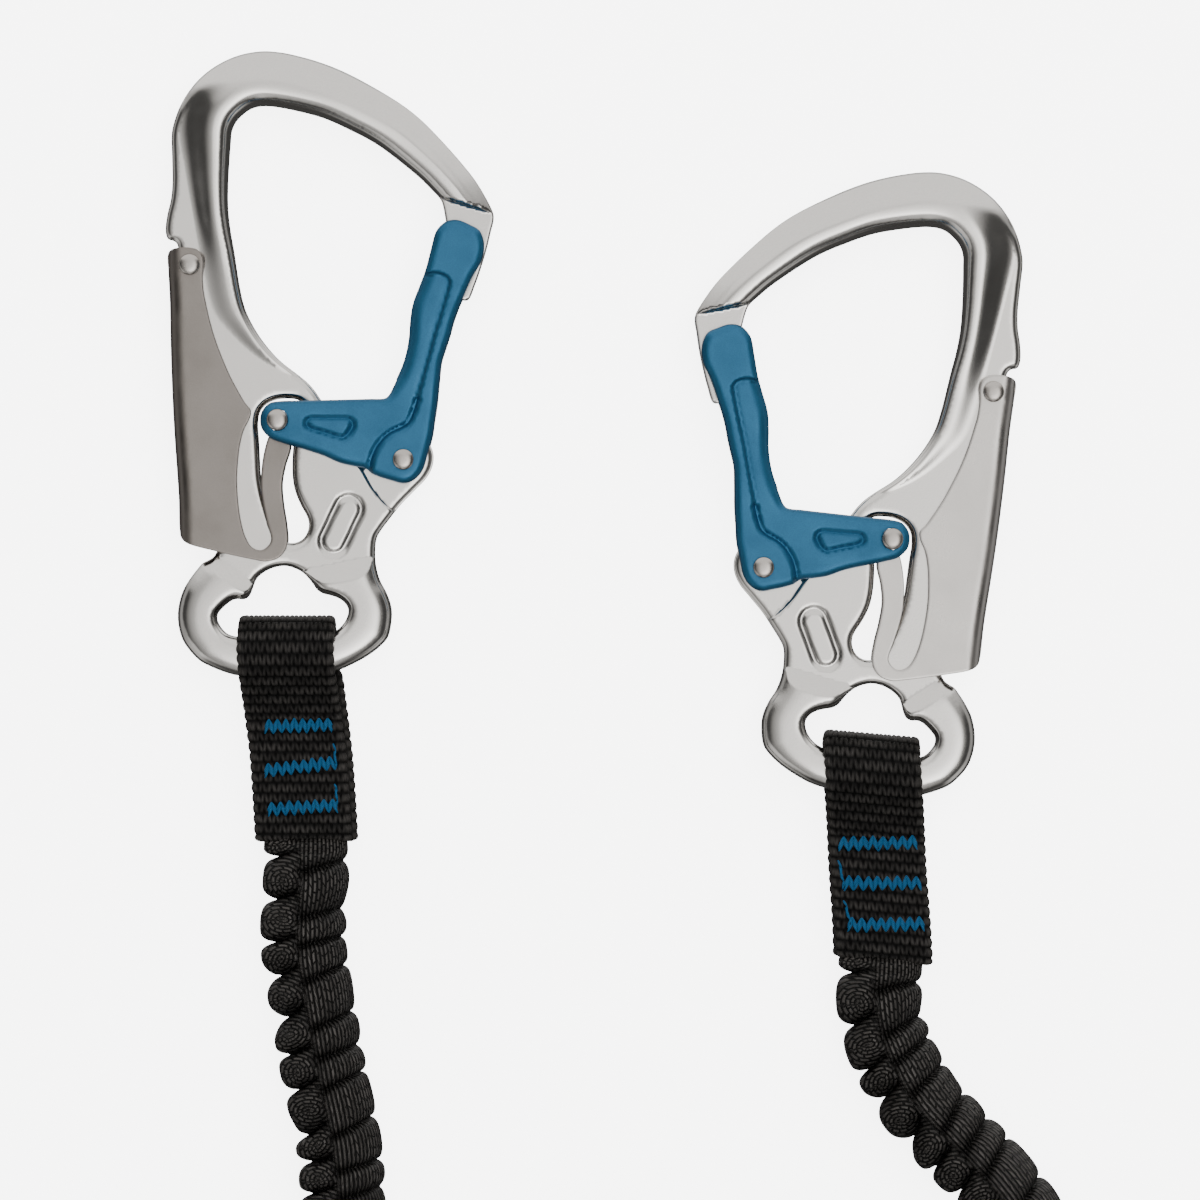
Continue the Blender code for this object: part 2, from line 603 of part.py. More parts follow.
def place_piece(name, mesh, surface, parent=None, pivot=Vector((0.0, 0.0))):
    """Gives a mesh its name and finish, with its origin at its pivot."""
    mesh.materials.clear()
    mesh.materials.append(surface)
    mesh.shade_smooth()
    mesh.set_sharp_from_angle(angle=SMOOTH_ANGLE)
    piece = bpy.data.objects.new(name, mesh)
    piece.parent = parent
    piece.location = (pivot.x, pivot.y, 0.0)
    bpy.context.scene.collection.objects.link(piece)


def holder(name, parent, location, rotation=(0.0, 0.0, 0.0)):
    empty = bpy.data.objects.new(name, None)
    empty.parent = parent
    empty.location = location
    empty.rotation_euler = rotation
    bpy.context.scene.collection.objects.link(empty)
    return empty


def connector_pieces():
    """Each piece's mesh, moved so that its pivot is its origin, with its finish."""
    origin = Vector((0.0, 0.0))
    made = [
        ("connector_body", connector_body(), origin, POLISHED_ALUMINIUM),
        ("gate", gate(), GATE_RIVET, BLUE_ANODISED),
        ("palm_lever", palm_lever(), LEVER_RIVET, STAINLESS_SHEET),
        ("gate_rivet", rivet("gate_rivet", GATE_RIVET, GATE_RIVET_RADIUS, HALF_GATE), origin, RIVET_STEEL),
        ("lock_pin", rivet("lock_pin", LOCK_PIN, LOCK_PIN_RADIUS, HALF_GATE), GATE_RIVET, RIVET_STEEL),
        (
            "lever_rivet",
            rivet("lever_rivet", LEVER_RIVET, LEVER_RIVET_RADIUS, HALF_LEVER),
            origin,
            RIVET_STEEL,
        ),
        ("gate_spring", gate_spring(), origin, SPRING_STEEL),
        ("lever_spring", lever_spring(), LEVER_RIVET, SPRING_STEEL),
    ]
    ready = []
    for name, piece, pivot, surface in made:
        mesh = taken(piece)
        mesh.transform(Matrix.Translation((-pivot.x, -pivot.y, 0.0)))
        ready.append((name, mesh, pivot, surface))
    return ready


def place_connector(side, pieces, place, turn, flip):
    """Puts one connector's pieces under an empty on its eye bar's axis."""
    frame = holder(side + "_connector_axis", None, place + Vector((0.0, 0.0, CONNECTOR_HEIGHT)))
    frame.rotation_euler = (Matrix.Rotation(turn, 3, "Z") @ Matrix.Rotation(flip, 3, "Y")).to_euler()
    for name, mesh, pivot, surface in pieces:
        place_piece(side + "_" + name, mesh, surface, frame, pivot)


# Webbing ends


def strap_line():
    """The middle of the strap, seen from its side as (along, up), round the eye bar."""
    radius = STRAP_INNER_RADIUS + STRAP_THICKNESS / 2
    layer = (STRAP_THICKNESS + STRAP_LAYER_GAP) / 2
    fall = radius * math.sin(STRAP_WRAP) - layer
    meet = radius * math.cos(STRAP_WRAP) - fall / math.tan(STRAP_WRAP - math.pi / 2)
    wrap = arc(Vector((0.0, 0.0)), radius, -STRAP_WRAP, STRAP_WRAP, STRAP_WRAP_PARTS)
    lower = [Vector((-STRAP_LENGTH, -layer)), Vector((meet, -layer))]
    upper = [Vector((meet, layer)), Vector((-STRAP_LENGTH, layer))]
    return lower + wrap + upper


def sewn_strap(slant, offset):
    def lift(along, up, across):
        return (across + offset - slant * along, along, up)

    outline = ribbon(strap_line(), STRAP_THICKNESS)
    return prism("strap", outline, -STRAP_WIDTH / 2, STRAP_WIDTH / 2, lift)


def bartack_set(count, width, depth, pitch, link, start, slant, offset, base):
    """Bars of zigzag thread joined down one edge, as one comb of thread."""
    edge = abs(width) / 2
    side = math.copysign(1.0, width)
    outline = [(edge, 0.0)]
    for step in range(count):
        top = -step * pitch
        outline += [(-edge, top), (-edge, top - depth)]
        if step + 1 < count:
            outline += [(edge - link, top - depth), (edge - link, top - pitch)]
    outline += [(edge, -(count - 1) * pitch - depth)]

    def lift(across, along, up):
        place = along - start
        return (side * across + offset - slant * place, place, up)

    return prism("bartacks", outline, base, base + THREAD_HEIGHT, lift)


def place_strap(side, place, turn, slant, offset):
    frame = holder(
        side + "_strap_place", None, place + Vector((0.0, 0.0, CONNECTOR_HEIGHT)), (0.0, 0.0, turn)
    )
    strap = sewn_strap(slant, offset)
    place_piece(side + "_webbing_end", taken(strap), BLACK_WEBBING, frame)
    top = STRAP_LAYER_GAP / 2 + STRAP_THICKNESS + SEAT_GAP
    hand = 1.0 if side == "left" else -1.0
    thread = bartack_set(
        BARTACKS_PER_END, BARTACK_WIDTH * hand, BARTACK_DEPTH, BARTACK_PITCH, BARTACK_LINK,
        BARTACK_START - BARTACK_DEPTH / 2, slant, offset + STRAP_BARTACK_OFFSET * hand, top,
    )
    place_piece(side + "_bartacks", taken(thread), BLUE_THREAD, frame)


# Elastic arms


def smooth_route(route, step):
    """Evenly spaced points on a smooth curve through the route's points."""
    fine = []
    count = len(route)
    for index in range(count - 1):
        ends = [Vector(route[max(0, min(count - 1, index + shift))]) for shift in (-1, 0, 1, 2)]
        for part in range(ROUTE_PARTS):
            fine.append(catmull_rom(ends, part / ROUTE_PARTS))
    fine.append(Vector(route[-1]))
    lengths = [0.0]
    for first, second in zip(fine, fine[1:]):
        lengths.append(lengths[-1] + (second - first).length)
    parts = max(2, round(lengths[-1] / step))
    points, at = [], 0
    for number in range(parts + 1):
        wanted = lengths[-1] * number / parts
        while at < len(fine) - 2 and lengths[at + 1] < wanted:
            at += 1
        share = (wanted - lengths[at]) / (lengths[at + 1] - lengths[at])
        points.append(fine[at].lerp(fine[at + 1], share))
    return points


def catmull_rom(ends, t):
    before, start, end, after = ends
    return (
        start * 2
        + (end - before) * t
        + (before * 2 - start * 5 + end * 4 - after) * t**2
        + (start * 3 - before - end * 3 + after) * t**3
    ) / 2


def tube(name, points, diameter, shares, resolution):
    """A tube through points on the floor; shares are each point's share of the diameter."""
    curve = bpy.data.curves.new(name, "CURVE")
    curve.dimensions = "3D"
    curve.bevel_depth = diameter / 2
    curve.bevel_resolution = resolution
    curve.use_fill_caps = True
    line = curve.splines.new("POLY")
    line.points.add(len(points) - 1)
    for knot, place, share in zip(line.points, points, shares):
        knot.co = (place.x, place.y, ARM_HEIGHT, 1.0)
        knot.radius = share
    return made_mesh(name, curve)


def elastic_arm(side, route):
    """A puckered webbing tube with its elastic core inside it."""
    ribs = smooth_route(route, ARM_RIB_PITCH / 2)
    if len(ribs) % 2:
        ribs = smooth_route(route, ARM_RIB_PITCH / 2 * len(ribs) / (len(ribs) + 1))
    valley_share = ARM_VALLEY_DIAMETER / ARM_DIAMETER
    shares = [valley_share if step % 2 else 1.0 for step in range(len(ribs))]
    arm = tube("arm", ribs, ARM_DIAMETER, shares, 2)
    every = 2 * RIBS_PER_CORE_POINT
    middle = ribs[0:3:2] + ribs[every:-every:every] + ribs[-3::2]
    past_ends = [middle[0] * 2 - middle[1]] + middle + [middle[-1] * 2 - middle[-2]]
    bore = tube("bore", past_ends, ARM_BORE_DIAMETER, [1.0] * len(past_ends), 1)
    combine(arm, bore, "DIFFERENCE")
    place_piece(side + "_elastic_arm", taken(arm), BLACK_WEBBING)
    core = tube("core", middle, ARM_CORE_DIAMETER, [1.0] * len(middle), 1)
    place_piece(side + "_elastic_core", taken(core), ELASTIC_RUBBER)
    total = sum((b - a).length for a, b in zip(ribs, ribs[1:]))
    print(side, "arm length", round(total, 4), "ribs", (len(ribs) + 1) // 2)


# Energy absorber, with its pouch, zip and tie-in loop


def block(name, width, length, height, centre_y, bottom):
    half = width / 2
    low, high = centre_y - length / 2, centre_y + length / 2
    return prism(name, [(-half, low), (half, low), (half, high), (-half, high)], bottom, bottom + height)


POUCH_MIDDLE = POUCH_END_Y + POUCH_LENGTH / 2
POUCH_TOP_Y = POUCH_END_Y + POUCH_LENGTH
LOOP_HEIGHT = POUCH_HEIGHT / 2


def absorber_pouch():
    pouch = block("pouch", POUCH_WIDTH, POUCH_LENGTH, POUCH_HEIGHT, POUCH_MIDDLE, 0.0)
    bevel(pouch, POUCH_EDGE, 3)
    inside = block(
        "inside", POUCH_WIDTH - 2 * POUCH_WALL, POUCH_LENGTH - 2 * POUCH_WALL,
        POUCH_HEIGHT - 2 * POUCH_WALL, POUCH_MIDDLE, POUCH_WALL,
    )
    bevel(inside, POUCH_EDGE - POUCH_WALL, 2)
    combine(pouch, inside, "DIFFERENCE")
    slit_height = JUNCTION_THICKNESS + 2 * SEAT_GAP
    slit = block(
        "slit", JUNCTION_WIDTH + 2 * SEAT_GAP, 2 * (POUCH_EDGE + POUCH_WALL), slit_height,
        POUCH_END_Y, JUNCTION_HEIGHT - slit_height / 2,
    )
    combine(pouch, slit, "DIFFERENCE")
    mouth_height = 2 * LOOP_SHEET + 3 * SEAT_GAP
    mouth = block(
        "mouth", LOOP_WIDTH + 2 * SEAT_GAP, 2 * (POUCH_EDGE + POUCH_WALL), mouth_height,
        POUCH_TOP_Y, LOOP_HEIGHT - mouth_height / 2,
    )
    combine(pouch, mouth, "DIFFERENCE")
    return pouch


def sideways(along, up, across):
    return (across, along, up)


def tear_webbing():
    """The absorber: webbing folded to and fro, which tears open layer by layer in a fall."""
    low = POUCH_WALL + TEAR_CLEARANCE + TEAR_SHEET / 2
    pitch = (POUCH_HEIGHT - 2 * low) / (TEAR_LAYERS - 1)
    near = POUCH_END_Y + JUNCTION_REACH + TEAR_END_SPACE
    far = POUCH_TOP_Y - JUNCTION_REACH - TEAR_END_SPACE
    line = []
    for layer in range(TEAR_LAYERS):
        height = low + layer * pitch
        ends = (near, far) if layer % 2 == 0 else (far, near)
        line += [Vector((ends[0], height)), Vector((ends[1], height))]
    return prism("tear", ribbon(line, TEAR_SHEET), -TEAR_WIDTH / 2, TEAR_WIDTH / 2, sideways)


def arm_junction():
    """The sewn block of webbing that both arms and the tear webbing are stitched into."""
    length = 2 * JUNCTION_REACH + TEAR_END_SPACE - SEAT_GAP - TEAR_SHEET / 2
    low_y = POUCH_END_Y - JUNCTION_REACH
    block_of_webbing = block(
        "junction", JUNCTION_WIDTH, length, JUNCTION_THICKNESS, low_y + length / 2,
        JUNCTION_HEIGHT - JUNCTION_THICKNESS / 2,
    )
    bevel(block_of_webbing, SEAT_GAP, 1)
    return block_of_webbing


def tie_in_loop():
    """A strap that leaves the pouch doubled, and opens into a loop for the harness."""
    layer = (LOOP_SHEET + SEAT_GAP) / 2
    inner_end = POUCH_TOP_Y - JUNCTION_REACH - TEAR_END_SPACE + TEAR_SHEET / 2 + SEAT_GAP
    loop_end = POUCH_TOP_Y + LOOP_LENGTH
    centre = Vector((loop_end - LOOP_RADIUS - LOOP_SHEET / 2, LOOP_HEIGHT))
    wrap = arc(centre, LOOP_RADIUS, -LOOP_WRAP, LOOP_WRAP, LOOP_WRAP_PARTS)
    part = POUCH_TOP_Y + LOOP_SEWN_LENGTH
    lower = [Vector((inner_end, LOOP_HEIGHT - layer)), Vector((part, LOOP_HEIGHT - layer))]
    upper = [Vector((part, LOOP_HEIGHT + layer)), Vector((inner_end, LOOP_HEIGHT + layer))]
    return prism(
        "tie_in", ribbon(lower + wrap + upper, LOOP_SHEET), -LOOP_WIDTH / 2, LOOP_WIDTH / 2, sideways
    )


def zip_tape():
    return block("zip", ZIP_WIDTH, ZIP_LENGTH, ZIP_TAPE, POUCH_MIDDLE, POUCH_HEIGHT + SEAT_GAP)


def zip_slider():
    """The slider's saddle with its pull tab lying on the tape, as one casting."""
    base = POUCH_HEIGHT + 2 * SEAT_GAP + ZIP_TAPE
    place = POUCH_MIDDLE + ZIP_LENGTH / 2 - SLIDER_LENGTH
    saddle = block("saddle", SLIDER_WIDTH, SLIDER_LENGTH, SLIDER_HEIGHT, place, base)
    bevel(saddle, SLIDER_EDGE, 2)
    pull = block(
        "pull", SLIDER_WIDTH / 2, SLIDER_PULL, SLIDER_HEIGHT / 2,
        place - SLIDER_PULL / 2, base + SLIDER_HEIGHT / 4,
    )
    combine(saddle, pull, "UNION")
    return saddle


def absorber():
    """Every piece of the absorber, in place."""
    junction_top = JUNCTION_HEIGHT + JUNCTION_THICKNESS / 2 + SEAT_GAP
    loop_top = LOOP_HEIGHT + SEAT_GAP / 2 + LOOP_SHEET + SEAT_GAP
    junction_thread = bartack_set(
        1, JUNCTION_SEAM_WIDTH, BARTACK_DEPTH, BARTACK_PITCH, BARTACK_LINK,
        -(POUCH_END_Y - JUNCTION_REACH / 2 + BARTACK_DEPTH / 2), 0.0, 0.0, junction_top,
    )
    loop_thread = bartack_set(
        2, BARTACK_WIDTH, BARTACK_DEPTH, BARTACK_PITCH, BARTACK_LINK,
        -(POUCH_TOP_Y + LOOP_SEWN_LENGTH - BARTACK_PITCH / 2), 0.0, 0.0, loop_top,
    )
    pieces = (
        ("absorber_pouch", absorber_pouch(), POUCH_FABRIC),
        ("tear_webbing", tear_webbing(), BLACK_WEBBING),
        ("arm_junction", arm_junction(), BLACK_WEBBING),
        ("junction_bartacks", junction_thread, BLUE_THREAD),
        ("tie_in_loop", tie_in_loop(), BLACK_WEBBING),
        ("tie_in_bartacks", loop_thread, BLUE_THREAD),
        ("pouch_zip", zip_tape(), ZIP_PLASTIC),
        ("zip_slider", zip_slider(), ZIP_PLASTIC),
    )
    for name, piece, surface in pieces:
        place_piece(name, taken(piece), surface)


left_place = floor_place(EYE_BAR_MARK)
right_place = floor_place(RIGHT_EYE_BAR_PIXEL)
shared_pieces = connector_pieces()
place_connector("left", shared_pieces, left_place, 0.0, 0.0)
place_connector("right", shared_pieces, right_place, RIGHT_TURN, math.pi)
place_strap("left", left_place, 0.0, LEFT_STRAP_SLANT, LEFT_STRAP_OFFSET)
place_strap("right", right_place, RIGHT_TURN, RIGHT_STRAP_SLANT, RIGHT_STRAP_OFFSET)
elastic_arm("left", LEFT_ARM_ROUTE)
elastic_arm("right", RIGHT_ARM_ROUTE)
absorber()
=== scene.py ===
"""The looks of a via ferrata lanyard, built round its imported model.

The sections follow the order in which the lanyard is put together: the picture's camera, floor
and light, the connectors piece by piece, the sewn webbing ends and their thread, the elastic
arms, and the energy absorber with its straps, pouch and zip. Metres, +Z up.
"""

import math
import random

import bmesh
import bpy
import numpy as np
from mathutils import Matrix, Vector
from mathutils.geometry import delaunay_2d_cdt


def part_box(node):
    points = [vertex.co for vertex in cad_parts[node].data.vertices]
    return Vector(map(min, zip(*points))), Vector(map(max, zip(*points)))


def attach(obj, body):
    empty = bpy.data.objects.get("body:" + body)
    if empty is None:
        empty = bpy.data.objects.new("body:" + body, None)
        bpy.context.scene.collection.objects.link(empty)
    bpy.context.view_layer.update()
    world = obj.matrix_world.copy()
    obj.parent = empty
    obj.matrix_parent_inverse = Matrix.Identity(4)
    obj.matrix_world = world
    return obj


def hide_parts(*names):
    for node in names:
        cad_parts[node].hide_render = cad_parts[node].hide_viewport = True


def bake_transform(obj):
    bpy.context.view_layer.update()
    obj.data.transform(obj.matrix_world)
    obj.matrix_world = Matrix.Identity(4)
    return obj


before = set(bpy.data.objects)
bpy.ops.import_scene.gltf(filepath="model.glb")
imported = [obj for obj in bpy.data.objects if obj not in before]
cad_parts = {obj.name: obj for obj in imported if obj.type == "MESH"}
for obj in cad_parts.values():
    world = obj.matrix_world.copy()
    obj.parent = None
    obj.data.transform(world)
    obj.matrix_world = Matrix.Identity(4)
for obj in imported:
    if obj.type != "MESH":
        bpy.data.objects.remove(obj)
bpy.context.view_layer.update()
bpy.ops.object.select_all(action="DESELECT")

MM = 0.001

# Camera, floor and light
# The picture is taken from straight above, through a long lens, on a white sweep. The world
# stands for the studio: a soft panel overhead that brightens to one side with a halo round it,
# a card behind, low pale walls, and dark between them.
PICTURE_SPAN = 240.0 * MM
PICTURE_CENTRE = (0.2 * MM, 107.5 * MM)
CAMERA_HEIGHT = 2.0
OBJECT_HEIGHT = 8.0 * MM
FLOOR_REACH = 3.0
FLOOR_GLOW = 5.5
FLOOR_WHITE = (0.93, 0.93, 0.93, 1.0)

eye = bpy.data.cameras.new("picture_camera")
eye.type = "PERSP"
eye.sensor_width = 36.0
eye.angle = 2 * math.atan(PICTURE_SPAN / 2 / (CAMERA_HEIGHT - OBJECT_HEIGHT))
eye.clip_start = 0.05
eye.clip_end = 20.0
camera = bpy.data.objects.new("picture_camera", eye)
camera.location = (*PICTURE_CENTRE, CAMERA_HEIGHT)
bpy.context.scene.collection.objects.link(camera)
bpy.context.scene.camera = camera


def shader_of(name):
    """A new material, its node tree and its Principled shader."""
    surface = bpy.data.materials.new(name)
    surface.use_nodes = True
    tree = surface.node_tree
    return surface, tree, tree.nodes["Principled BSDF"]


def feed(tree, node, **values):
    """Gives a node's sockets, named with _ for a space, a value or another socket's output."""
    for name, value in values.items():
        socket = node.inputs[name.replace("_", " ")]
        if isinstance(value, bpy.types.NodeSocket):
            tree.links.new(value, socket)
        else:
            socket.default_value = value
    return node


def add(tree, kind, **values):
    """A new shader node of a kind, its sockets fed."""
    return feed(tree, tree.nodes.new("ShaderNode" + kind), **values)


def maths(tree, kind, *values):
    """The result of a sum over sockets and fixed numbers."""
    node = tree.nodes.new("ShaderNodeMath")
    node.operation = kind
    for socket, value in zip(node.inputs, values):
        if isinstance(value, bpy.types.NodeSocket):
            tree.links.new(value, socket)
        else:
            socket.default_value = value
    return node.outputs[0]


bpy.ops.mesh.primitive_plane_add(size=2 * FLOOR_REACH, location=(*PICTURE_CENTRE, 0.0))
floor = bpy.context.object
floor.name = "studio_floor"
floor_paint, sweep, shader = shader_of("white_sweep")
seen = sweep.nodes.new("ShaderNodeLightPath").outputs["Is Camera Ray"]
feed(
    sweep, shader, Base_Color=FLOOR_WHITE, Roughness=0.9, Specular_IOR_Level=0.1,
    Emission_Color=(1.0, 1.0, 1.0, 1.0), Emission_Strength=maths(sweep, "MULTIPLY", seen, FLOOR_GLOW),
)
floor.data.materials.append(floor_paint)
floor.visible_glossy = False
floor.select_set(False)


# The light's edges, as slopes away from straight up or as heights, and its levels
PANEL_LEFT, PANEL_RIGHT, PANEL_NEAR = -0.22, 0.42, -0.62
PANEL_LEFT_SHARPNESS, PANEL_SHARPNESS = 4.5, 3.0
PANEL_LEVEL, PANEL_SLOPE_ACROSS, PANEL_SLOPE_ALONG = 1.45, 4.2, -4.0
PANEL_LEAST, PANEL_MOST = 1.15, 5.0
CARD_LEVEL, CARD_SPREAD, CARD_END, CARD_SHARPNESS = 1.3, 0.6, -0.85, 3.0
LOW_LEVEL, LOW_TOP, LOW_END, LOW_SHARPNESS = 0.95, 0.24, -0.42, 3.5
LOW_NEAR, LOW_NEAR_SHARPNESS, LOW_CORNER_RISE = -0.8, 4.0, 1.2
LOW_SIDE, LOW_SIDE_SHARPNESS, LOW_SIDE_LOSS = 0.75, 3.0, 0.6
HALO_LEVEL, HALO_REACH, HALO_POWER = 0.85, 2.0, 3.0
CARD_SIDE, SKY_END, SKY_SHARPNESS = 0.05, 0.1, 5.0
DARK_LEVEL, LEAST_HEIGHT = 0.06, 0.04
STUDIO_TINT = (1.0, 0.98, 0.955, 1.0)


def studio_world():
    """The light by direction: panel and halo overhead, card behind, low walls, dark between."""
    world = bpy.data.worlds.new("studio")
    world.use_nodes = True
    bpy.context.scene.world = world
    tree = world.node_tree
    tree.nodes.clear()
    where = tree.nodes.new("ShaderNodeTexCoord").outputs["Generated"]
    parts = tree.nodes.new("ShaderNodeSeparateXYZ")
    tree.links.new(where, parts.inputs[0])
    x, y, z = parts.outputs

    def sum_of(kind, *values):
        return maths(tree, kind, *values)

    def beyond(value, edge, sharpness):
        node = tree.nodes.new("ShaderNodeClamp")
        tree.links.new(sum_of("MULTIPLY_ADD", value, sharpness, 0.5 - edge * sharpness), node.inputs[0])
        return node.outputs[0]

    def product(*values):
        result = values[0]
        for value in values[1:]:
            result = sum_of("MULTIPLY", result, value)
        return result

    up = sum_of("MAXIMUM", z, LEAST_HEIGHT)
    across, along = sum_of("DIVIDE", x, up), sum_of("DIVIDE", y, up)
    minus_across = sum_of("MULTIPLY", across, -1.0)
    panel = product(
        beyond(across, PANEL_LEFT, PANEL_LEFT_SHARPNESS),
        beyond(minus_across, -PANEL_RIGHT, PANEL_SHARPNESS),
        beyond(along, PANEL_NEAR, PANEL_SHARPNESS), beyond(z, SKY_END, SKY_SHARPNESS),
    )
    level = sum_of("MULTIPLY_ADD", across, PANEL_SLOPE_ACROSS, PANEL_LEVEL)
    level = sum_of("ADD", level, sum_of("MULTIPLY", along, PANEL_SLOPE_ALONG))
    level = sum_of("MINIMUM", sum_of("MAXIMUM", level, PANEL_LEAST), PANEL_MOST)
    sideways = sum_of("ABSOLUTE", x)
    spread = sum_of("SUBTRACT", y, sum_of("MULTIPLY", sideways, CARD_SPREAD))
    card = product(
        beyond(spread, CARD_SIDE, CARD_SHARPNESS), beyond(z, CARD_END, CARD_SHARPNESS), CARD_LEVEL,
    )
    corner = product(*(sum_of("MAXIMUM", sum_of("MULTIPLY", side, -1.0), 0.0) for side in (x, y)))
    down = sum_of("MULTIPLY_ADD", corner, LOW_CORNER_RISE, sum_of("MULTIPLY", z, -1.0))
    at_side = beyond(sideways, LOW_SIDE, LOW_SIDE_SHARPNESS)
    low = product(
        beyond(down, -LOW_TOP, LOW_SHARPNESS), beyond(z, LOW_END, LOW_SHARPNESS),
        beyond(y, LOW_NEAR, LOW_NEAR_SHARPNESS), LOW_LEVEL,
        sum_of("MULTIPLY_ADD", at_side, -LOW_SIDE_LOSS, 1.0),
    )
    away = sum_of("SUBTRACT", HALO_REACH, sum_of("ABSOLUTE", across))
    halo = sum_of("POWER", sum_of("MAXIMUM", sum_of("DIVIDE", away, HALO_REACH), 0.0), HALO_POWER)
    halo = product(halo, beyond(z, SKY_END, SKY_SHARPNESS), HALO_LEVEL)
    total = product(panel, level)
    for part in (halo, card, low, DARK_LEVEL):
        total = sum_of("MAXIMUM", total, part)
    tint = tree.nodes.new("ShaderNodeRGB")
    tint.outputs[0].default_value = STUDIO_TINT
    light = add(tree, "Background", Color=tint.outputs[0], Strength=total)
    tree.links.new(light.outputs[0], tree.nodes.new("ShaderNodeOutputWorld").inputs[0])


studio_world()


def soft_lamp(name, place, size, power, target=(0.0, 0.1, 0.0)):
    """A soft lamp that lights cloth and floor and isn't mirrored in the metal."""
    lamp = bpy.data.lights.new(name, "AREA")
    lamp.shape = "DISK"
    lamp.size = size
    lamp.energy = power
    holder = bpy.data.objects.new(name, lamp)
    holder.location = place
    holder.rotation_euler = (Vector(target) - Vector(place)).to_track_quat("-Z", "Y").to_euler()
    holder.visible_glossy = False
    bpy.context.scene.collection.objects.link(holder)


soft_lamp("overhead_lamp", (0.3, 0.6, 2.2), 2.2, 45.0)
soft_lamp("sheen_lamp", (0.9, 1.3, 1.5), 0.9, 9.0)

# Connector body
# One forging: a round bow that flattens into a web, a nose with a thin tongue, and a ring for
# the webbing. Its surface is a relief over the outline, the same on both faces.
PIXEL = 0.2 * MM
EYE_BAR_PIXEL = (288.0, 655.5)
HALF_WEB = 2.5 * MM
HALF_BAR = 5.7 * MM
HALF_EYE = 4.2 * MM
HALF_TONGUE = 2.0 * MM
WEB_EDGE = 1.4 * MM
BAR_SQUARENESS = 2.05
BAR_CREST_PIXELS = (90.0, 130.0, 150.0, 180.0, 215.0, 270.0, 340.0)
BAR_CREST_SHARES = (0.66, 0.68, 0.67, 0.655, 0.645, 0.68, 0.7)
EYE_SQUARENESS = 3.4
EYE_CREST_SHARE = 0.72
LEFT_RAMP = 0.6
RIGHT_RAMP = 0.5
OUTLINE_STEP = 0.42 * MM
GRID_STEP = 0.52 * MM
BODY_OUTLINE = (
    (172, 133), (175, 120), (180, 107), (190, 90), (203, 75.5), (220, 63.5), (240, 55), (262, 51.3),
    (281, 52.5), (300, 56.5), (320, 62.3), (340, 70), (365, 82.5), (400, 103.5), (420, 119), (440, 139),
    (461, 162.5), (476, 181.5), (489.5, 204.5), (493.5, 214), (493.7, 220), (491, 231), (487, 248),
    (481, 268), (475, 285), (468, 300), (462, 300), (456, 296), (452, 270), (449, 240), (446, 222),
    (443, 206), (440.5, 199.5), (431, 189), (421, 179), (400, 161.5), (380, 146.5), (365, 137.5),
    (350, 130), (336, 123.3), (321, 117.3), (300, 111.7), (281, 107.8), (269, 106.3), (259, 106.6),
    (251, 109), (243, 114.5), (236, 122), (232, 131), (230.8, 143), (229.5, 160), (228.2, 185),
    (228.2, 208), (230.5, 230), (234, 250), (240, 288), (244.5, 307), (250.5, 321), (260, 337),
    (270, 350), (281, 361.5), (301, 377), (308.5, 383.5), (315, 391), (321.5, 400.5), (338, 420),
    (356, 431), (374, 437.5), (390, 433), (403, 430), (418, 433.5), (429, 443), (433.5, 455),
    (432, 467.5), (426, 478.5), (414, 491), (400, 505.5), (389.5, 519), (382, 529), (377, 537.5),
    (375.3, 550), (376, 565), (380, 580), (386.5, 592.5), (391, 605), (392, 616), (388, 637),
    (380.5, 646), (369, 655), (354, 663.5), (338, 670.5), (320, 674.5), (290, 676), (260, 676.5),
    (238, 675.5), (226, 672.5), (212, 667), (200.5, 661), (190, 650.5), (183, 640), (179, 627),
    (178, 613.5), (180, 600.5), (184, 589), (190, 579), (198, 568.5), (203, 563), (209, 560),
    (214, 556.5), (218.5, 549), (228, 535), (216, 470), (203, 410), (197, 370), (188, 319), (181, 275),
    (178.5, 250), (178, 246), (176, 242.5), (172.5, 240.5), (168.5, 239.5), (166.3, 235), (165.8, 228),
    (167.5, 215), (171, 200), (172.6, 183), (172.3, 160),
)
BAR_OUTER_EDGE = (
    (520, 260), (493.7, 217), *BODY_OUTLINE[18:2:-1], (182, 107), (179.5, 120), (179, 133),
    (180.5, 146), (184, 164), (188, 187), (192.5, 212), (198, 244), (203.5, 275), (214, 314),
    (231.4, 335), (255, 356.5), (279.3, 371), (303, 380),
)
BAR_INNER_EDGE = ((470.0, 235.0), *BODY_OUTLINE[32:63])
BAR_FADE_PIXELS = (100.0, 150.0, 180.0, 215.0, 240.0, 270.0, 300.0, 337.0, 358.0, 373.0, 384.0)
BAR_FADE_SHARES = (1.0, 0.86, 0.81, 0.735, 0.66, 0.575, 0.555, 0.545, 0.53, 0.49, 0.44)
CROWN_PIXELS = (78.0, 112.0)
BOW_CREST_PIXELS = (290.0, 350.0, 410.0, 450.0)
BOW_CREST_SHARES = (0.62, 0.63, 0.6, 0.57)
BOW_START = (215.0, 290.0)
BOW_INNER = 3.4
BOW_MIDDLE, BOW_MARGIN = (330.0, 230.0), 0.8 * MM
MARGIN_PIXELS = (105.0, 125.0)
CROWN_INNER = 3.3
TABLE_EASE = 9.0
HOLLOW_SHARE, HOLLOW_WIDTH, HOLLOW_DEPTH = 0.38, 0.055, 0.2 * MM
HOLLOW_PIXELS = (320.0, 420.0)
